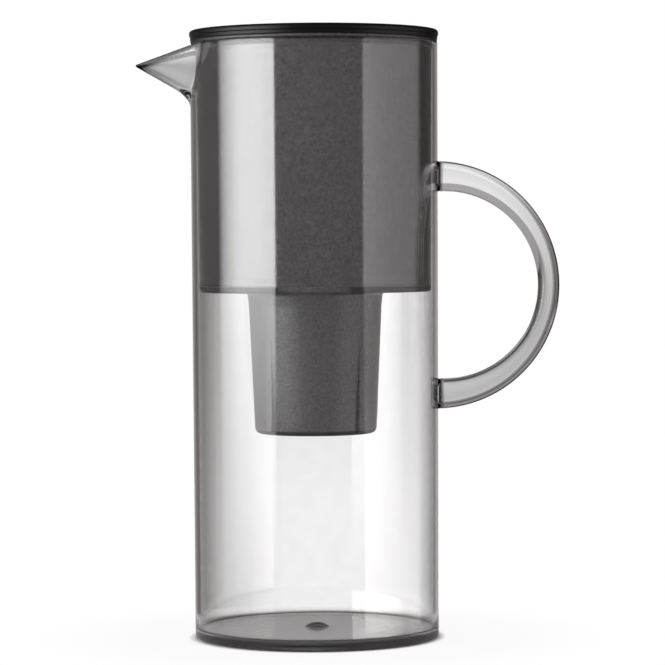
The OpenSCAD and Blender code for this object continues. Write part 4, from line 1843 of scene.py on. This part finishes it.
    def bed(self, node: str, shape: Grain, size: float, finish: Material) -> Mesh:
        """Build a bed of loose grains or beads round a plain core.

        Args:
            node: The CAD node.
            shape: Whether the grains are broken or round.
            size: The size of a grain.
            finish: The bed's material.

        Returns:
            The mesh.
        """
        low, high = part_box(node)
        inset = size / 2.0
        floor, roof = low.z + inset, high.z - inset
        below, above = ((self.cavity(z) - self.fill_gap - inset, z, 0.0003) for z in (floor, roof))
        core = spin_mesh(node, disc_profile(below, above, 3, 0.008), self.bed_steps)
        crease = self.grain_crease if shape is Grain.BROKEN else self.soft_crease
        return GrainCoat(shape).apply(
            core, finish, crease, Grain_Size=size, Spacing=size * self.grain_pitch, Seed=self.grain_seed
        )

    def build(self, finishes: Finishes) -> None:
        """Build and dress the cartridge.

        Args:
            finishes: The finishes of the jug.
        """
        body = Body.CARTRIDGE
        white = finishes.shell.make()
        place("filter_shell", self.shell(white), white, body, Slot.FILTER_SHELL, "cartridge_shell")
        place("filter_cap", self.cap(white), white, body, Slot.FILTER_SHELL, "cartridge_cap")
        place("filter_seal", self.seal(), finishes.seal.make(), body, Slot.SEAL, "cartridge_seal")
        pale = finishes.screen.make()
        for node in ("inlet_screen", "outlet_screen"):
            place(f"{node}_disc", self.screen(node, pale), pale, body, Slot.SCREEN, node)
        felt = finishes.fleece.make()
        for node in ("middle_pad", "outlet_pad"):
            place(f"{node}_fleece", self.pad(node), felt, body, Slot.FLEECE, node)
        for name, node, shape, size, finish, slot in (
            ("carbon_grains", "carbon_bed", Grain.BROKEN, self.grain, finishes.carbon, Slot.CARBON),
            ("resin_beads", "resin_bed", Grain.ROUND, self.bead, finishes.resin, Slot.RESIN),
        ):
            filling = finish.make()
            place(name, self.bed(node, shape, size, filling), filling, body, slot, node)


@dataclass
class Lid:
    """The flat lid: its cover with four pins, its liner with the plug, and the seal ring."""

    cover_edge: float = 0.0015
    plug_radius: float = 0.0519
    plug_wall: float = 0.0026
    groove_depth: float = 0.001
    pin_count: int = 4
    pin: float = 0.004
    pin_ring: float = 0.036
    pin_gap: float = 0.00005
    pin_root: float = 0.001
    pin_steps: int = 24
    face_gap: float = 0.00002
    drill_over: float = 0.002
    seal_flat: float = 0.0003
    vent_count: int = 2
    vent_width: float = 0.004
    vent_reach: float = 0.002
    vent_over: float = 0.001
    stretch: float = 0.008

    def __post_init__(self) -> None:
        """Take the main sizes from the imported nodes."""
        self.plug_low, liner_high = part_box("lid_liner")
        self.join = liner_high.z
        self.liner_radius = liner_high.y
        self.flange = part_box("hopper")[1].z
        self.seal_low, self.seal_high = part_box("lid_seal")
        self.cover_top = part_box("lid_cover")[1]
        self.groove = self.plug_radius - self.groove_depth
        self.first_pin = math.pi / self.pin_count

    def cover(self, black: Material) -> Mesh:
        """Build the cover with the pins that hold the liner.

        Args:
            black: The lid's material.

        Returns:
            The mesh.
        """
        top = self.cover_top
        profile = disc_profile((top.y, self.join, 0.0003), (top.y, top.z, self.cover_edge), 7, self.stretch)
        outline = round_outline(self.pin, self.pin_steps)
        pin = upright("pin", outline, self.flange + self.face_gap, self.join + self.pin_root)
        disc = spin_mesh("lid_disc", profile)
        return ToolRing(Joining.ADD).run(disc, black, pin, self.pin_count, self.pin_ring, self.first_pin)

    def liner(self, black: Material) -> Mesh:
        """Build the liner with its plug, its groove and its pin holes.

        Args:
            black: The lid's material.

        Returns:
            The mesh.
        """
        inner = self.plug_radius - self.plug_wall
        join = self.join - self.face_gap
        profile = rounded([
            (0.0, self.flange, 0.0), (inner, self.flange, 0.0008), (inner, self.plug_low.z, 0.0006),
            (self.plug_radius, self.plug_low.z, 0.0006), (self.plug_radius, self.seal_low.z, 0.0),
            (self.groove, self.seal_low.z, 0.0), (self.groove, self.seal_high.z, 0.0),
            (self.plug_radius, self.seal_high.z, 0.0), (self.plug_radius, self.flange, 0.0005),
            (self.liner_radius, self.flange, 0.0004), (self.liner_radius, join, 0.0002), (0.0, join, 0.0),
        ], 4)
        outline = round_outline(self.pin + 2.0 * self.pin_gap, self.pin_steps)
        drill = upright("drill", outline, self.flange - self.drill_over, self.join + self.drill_over)
        disc = spin_mesh("lid_plug", divided(profile, self.stretch))
        return ToolRing(Joining.CUT).run(disc, black, drill, self.pin_count, self.pin_ring, self.first_pin)

    def seal(self, rubber: Material) -> Mesh:
        """Build the seal ring with its lip and its two air notches.

        Args:
            rubber: The ring's material.

        Returns:
            The mesh.
        """
        low, high = self.seal_low.z, self.seal_high.z
        outer = self.seal_high.y
        middle = (low + high) / 2.0
        profile = rounded([
            (self.groove, low, 0.0001), (self.plug_radius, low, 0.0002),
            (outer, middle - self.seal_flat, 0.0003), (outer, middle + self.seal_flat, 0.0003),
            (self.plug_radius, high, 0.0002), (self.groove, high, 0.0001),
        ], 4, True)
        outline = box_outline(self.plug_radius, outer + self.vent_reach, self.vent_width)
        notch = upright("notch", outline, low - self.vent_over, high + self.vent_over)
        ring = spin_mesh("lid_seal_ring", profile, loop=True)
        return ToolRing(Joining.CUT).run(ring, rubber, notch, self.vent_count)

    def build(self, finishes: Finishes) -> None:
        """Build and dress the lid.

        Args:
            finishes: The finishes of the jug.
        """
        black = finishes.black.make()
        rubber = finishes.seal.make()
        place("lid_disc", self.cover(black), black, Body.LID, Slot.BLACK_SATIN, "lid_cover")
        place("lid_plug", self.liner(black), black, Body.LID, Slot.BLACK_SATIN, "lid_liner")
        place("lid_seal_ring", self.seal(rubber), rubber, Body.LID, Slot.SEAL, "lid_seal")


@dataclass(frozen=True)
class SoftBox:
    """One soft box.

    Its bearing is its direction from the jug in degrees, 0 towards the camera and positive to the right.
    The brightness of its face is 1 for white. The fade is places across its face, from 0 to 1, and the
    share of the brightness there. The foot is the share of the brightness at its foot, and the heights
    on its face, from 0 to 1, between which that share changes to 1.
    """

    name: str
    bearing: float
    wide: float
    bright: float
    fade: Levels
    foot: Corner
    tone: Colour = WHITE
    far: float = 0.9
    tall: float = 0.76
    rise: float = 0.22

    def hang(self) -> None:
        """Hang the soft box beside the jug."""
        data = bpy.data.lights.new(self.name, "AREA")
        data.shape = "RECTANGLE"
        data.size = self.wide
        data.size_y = self.tall
        data.energy = self.bright * math.pi * self.wide * self.tall
        lamp = new_object(self.name, data)
        swing = math.radians(self.bearing)
        spot = Matrix.Translation((self.far * math.sin(swing), -self.far * math.cos(swing), self.rise))
        lamp.matrix_world = spot @ Matrix.Rotation(swing, 4, "Z") @ Matrix.Rotation(QUARTER_TURN, 4, "X")
        lamp.visible_camera = False
        data.use_nodes = True
        bench = NodeBench(data.node_tree)
        across, up, _ = bench.axes(bench.add("ShaderNodeNewGeometry").outputs["Parametric"])
        colours = [(stop, tuple(share * part for part in self.tone)) for stop, share in self.fade]
        level, start, end = self.foot
        glow = bench.add("ShaderNodeEmission")
        bench.put(glow, Color=bench.ramp(across, colours), Strength=bench.spread(up, level, 1.0, start, end))
        bench.put(bench.add("ShaderNodeOutputLight"), Surface=glow.outputs["Emission"])


@dataclass
class Studio:
    """The pale floor, the soft lamps, the white surround and the camera.

    The levels are directions in degrees from straight behind the jug, positive to the right, and the
    surround's brightness there: low and high ones for light through the plastic, and mirror ones for
    reflections. Each limit that ends in rise or fall is the two heights of a direction between which the
    surround changes. On the floor, limits are distances from the jug's axis.
    """

    floor_radius: float = 0.55
    floor_corners: int = 96
    floor_gap: float = 0.0002
    floor_dark: Colour = (0.89, 0.89, 0.89)
    floor_light: Colour = (0.92, 0.92, 0.92)
    floor_patch: float = 0.05
    patch_limits: Limits = (0.3, 0.7)
    foot_edge: Limits = (0.0565, 0.0605)
    foot_white: float = 0.92
    white_end: float = 0.14
    # Painted shadow beside the foot: its colour, where it ends and where it starts on the sides.
    painted_shadow_colour: Colour = (0.42, 0.41, 0.41)
    painted_shadow_end: Limits = (0.085, 0.11)
    painted_shadow_sides: Limits = (0.026, 0.044)
    behind_start: Limits = (0.09, 0.12)
    open_start: Limits = (0.09, 0.13)
    camera_distance: float = 1.450
    camera_height: float = 0.188
    camera_x: float = 0.0080
    aim_height: float = 0.1426
    roll: float = math.radians(-0.34)
    pixel: float = 0.0004686
    image: int = 665
    sensor: float = 36.0
    clip: Limits = (0.05, 50.0)
    bounces: int = 24
    glossy_bounces: int = 8
    fill_level: float = 0.28
    steep_level: float = 0.80
    deep_level: float = 0.12
    deep_rise: Limits = (-0.80, -0.45)
    steep_rise: Limits = (-0.40, -0.17)
    horizon_level: float = 0.86
    horizon_rise: Limits = (-0.085, -0.035)
    high_rise: Limits = (-0.02, 0.03)
    ceiling_rise: Limits = (0.06, 0.085)
    ceiling_level: float = 0.44
    top_level: float = 0.12
    top_rise: Limits = (0.50, 0.80)
    mirror_level: float = 0.3
    mirror_fall: Limits = (0.06, 0.12)
    dim_colour: Colour = (1.0, 0.91, 0.895)
    dim_below: float = 0.55
    low_levels: Levels = (
        (-180.0, 0.50), (-140.0, 0.44), (-110.0, 0.20), (-70.0, 0.12), (-40.0, 0.12), (-22.0, 0.18),
        (-10.0, 0.30), (-7.4, 0.43), (-6.0, 0.56), (-4.5, 0.65), (-3.3, 0.71), (-2.5, 0.82), (-2.0, 0.92),
        (-1.5, 1.0), (1.6, 1.0), (3.3, 0.95), (4.6, 0.92), (5.7, 0.90), (7.5, 0.84), (11.5, 0.70),
        (18.0, 0.52), (26.0, 0.29), (42.0, 0.12), (70.0, 0.10), (110.0, 0.20), (140.0, 0.44), (180.0, 0.50),
    )
    high_levels: Levels = (
        (-180.0, 0.50), (-140.0, 0.44), (-110.0, 0.20), (-70.0, 0.12), (-40.0, 0.13), (-22.0, 0.17),
        (-10.0, 0.22), (-6.0, 0.36), (-4.5, 0.42), (-3.6, 0.46), (-2.4, 0.47), (-1.7, 0.60), (-1.0, 0.95),
        (5.7, 0.95), (7.5, 0.58), (11.5, 0.42), (18.0, 0.28), (26.0, 0.14), (42.0, 0.06), (70.0, 0.06),
        (110.0, 0.20), (140.0, 0.44), (180.0, 0.50),
    )
    mirror_levels: Levels = (
        (-180.0, 0.06), (-120.0, 0.06), (-60.0, 0.08), (-30.0, 0.10), (-10.0, 0.40), (0.0, 1.0), (6.0, 1.0),
        (14.0, 0.34), (24.0, 0.08), (34.0, 0.03), (62.0, 0.02), (120.0, 0.06), (180.0, 0.06),
    )
    left_box: SoftBox = SoftBox(
        "left soft box", bearing=-67.0, wide=1.06, bright=4.9, foot=(0.0, 0.10, 0.42),
        fade=((0.0, 0.26), (0.1, 0.38), (0.42, 0.95), (0.7, 1.0), (1.0, 0.86)),
    )
    right_box: SoftBox = SoftBox(
        "right soft box", bearing=80.0, wide=1.23, bright=1.1, foot=(2.0, 0.05, 0.25),
        fade=((0.0, 1.0), (1.0, 0.36)), tone=(1.0, 0.94, 0.955),
    )

    def camera(self) -> None:
        """Set the camera at the photograph's viewing angle."""
        data = bpy.data.cameras.new("camera")
        data.sensor_width = self.sensor
        data.lens = self.sensor / self.image * self.camera_distance / self.pixel
        data.clip_start, data.clip_end = self.clip
        camera = new_object("camera", data)
        dip = math.atan((self.camera_height - self.aim_height) / self.camera_distance)
        turn = Matrix.Rotation(QUARTER_TURN - dip, 4, "X") @ Matrix.Rotation(self.roll, 4, "Z")
        spot = Matrix.Translation((self.camera_x, -self.camera_distance, self.camera_height))
        camera.matrix_world = spot @ turn
        bpy.context.scene.camera = camera

    def floor(self) -> None:
        """Lay the pale floor, which keeps the shadow and fades to white far out."""
        outline = round_outline(2.0 * self.floor_radius, self.floor_corners)
        mesh = bpy.data.meshes.new("floor")
        mesh.from_pydata([(x, y, -self.floor_gap) for x, y in outline], [], [range(len(outline))])
        floor = new_object("floor", mesh)
        bench = FinishBench("pale floor")
        length = bench.add("ShaderNodeVectorMath", operation="LENGTH")
        bench.feed(length.inputs[0], bench.coords)
        away = length.outputs["Value"]
        path = bench.add("ShaderNodeLightPath").outputs
        through = path["Is Transmission Ray"]
        patch = bench.spread(bench.noise(bench.coords, self.floor_patch, 4.0), 0.0, 1.0, *self.patch_limits)
        aside = bench.math("ABSOLUTE", bench.axes(bench.coords)[0])
        # Painted shadow: seen through the plastic, the paper beside the foot and off its middle is darker.
        painted_shadow = bench.times(
            bench.band(away, self.foot_edge, self.painted_shadow_end),
            bench.spread(aside, 0.0, 1.0, *self.painted_shadow_sides),
        )
        pale = bench.mix(patch, self.floor_dark, self.floor_light)
        pale = bench.mix(bench.times(painted_shadow, through), pale, self.painted_shadow_colour)
        paper = bench.put(bench.add("ShaderNodeBsdfDiffuse"), Color=pale).outputs["BSDF"]
        white = bench.add("ShaderNodeEmission").outputs["Emission"]
        clear = bench.add("ShaderNodeBsdfTransparent").outputs["BSDF"]
        share = bench.math(
            "ADD", bench.spread(away, 0.0, self.foot_white, *self.foot_edge),
            bench.spread(away, 0.0, 1.0 - self.foot_white, self.foot_edge[1], self.white_end),
        )
        behind = bench.times(through, bench.spread(away, 0.0, 1.0, *self.behind_start))
        seen = bench.math("MAXIMUM", path["Is Camera Ray"], behind)
        lit = bench.layer(bench.times(seen, share), paper, white)
        sharp = bench.math("MAXIMUM", through, path["Is Glossy Ray"])
        beyond = bench.spread(away, 0.0, 1.0, *self.open_start)
        bench.put(bench.output, Surface=bench.layer(bench.times(sharp, beyond), lit, clear))
        mesh.materials.append(bench.material)

    def surround(self) -> None:
        """Make the white surround, with a dim side behind the camera as in a real studio."""
        world = bpy.data.worlds.new("studio")
        bpy.context.scene.world = world
        world.use_nodes = True
        bench = NodeBench(world.node_tree)
        x, y, z = bench.axes(bench.add("ShaderNodeTexCoord").outputs["Generated"])
        path = bench.add("ShaderNodeLightPath").outputs
        turn = bench.spread(bench.math("ARCTAN2", x, y), 0.0, 1.0, -math.pi, math.pi)
        low, high, mirror = (
            bench.ramp(turn, [(0.5 + degrees / 360.0, 3 * (bright,)) for degrees, bright in levels])
            for levels in (self.low_levels, self.high_levels, self.mirror_levels)
        )
        through = bench.times(low, bench.spread(z, 1.0, self.horizon_level, *self.horizon_rise))
        through = bench.toward(through, high, bench.spread(z, 0.0, 1.0, *self.high_rise))
        ceiling = bench.spread(z, self.ceiling_level, self.top_level, *self.top_rise)
        through = bench.toward(through, ceiling, bench.spread(z, 0.0, 1.0, *self.ceiling_rise))
        below = bench.spread(z, self.deep_level, self.steep_level, *self.deep_rise)
        through = bench.toward(through, below, bench.spread(z, 1.0, 0.0, *self.steep_rise))
        mirror = bench.times(mirror, bench.spread(z, 1.0, self.mirror_level, *self.mirror_fall))
        reflected = bench.math("SUBTRACT", path["Is Glossy Ray"], path["Is Transmission Ray"])
        reflected = bench.math("MAXIMUM", reflected, 0.0)
        level = bench.times(path["Is Transmission Ray"], through)
        level = bench.math("MULTIPLY_ADD", reflected, mirror, level)
        level = bench.math("MULTIPLY_ADD", path["Is Diffuse Ray"], self.fill_level, level)
        level = bench.math("MAXIMUM", level, path["Is Camera Ray"])
        tone = bench.mix(bench.spread(level, 0.0, 1.0, 0.0, self.dim_below), self.dim_colour, WHITE)
        back = bench.put(bench.add("ShaderNodeBackground"), Color=tone, Strength=level)
        bench.put(bench.add("ShaderNodeOutputWorld"), Surface=back.outputs["Background"])

    def build(self) -> None:
        """Set up the whole studio."""
        self.floor()
        self.surround()
        self.left_box.hang()
        self.right_box.hang()
        self.camera()
        scene = bpy.context.scene
        scene.view_settings.view_transform = "Standard"
        scene.cycles.max_bounces = self.bounces
        scene.cycles.transmission_bounces = self.bounces
        scene.cycles.glossy_bounces = self.glossy_bounces


def main() -> None:
    """Build every piece of the jug and the studio around it."""
    logging.basicConfig(level=logging.INFO, format="%(name)s: %(message)s")
    finishes = Finishes()
    for assembly in (JugBody(), HoopHandle(), Hopper(), Cartridge(), Lid()):
        assembly.build(finishes)
    Studio().build()


if __name__ == "__main__":
    main()
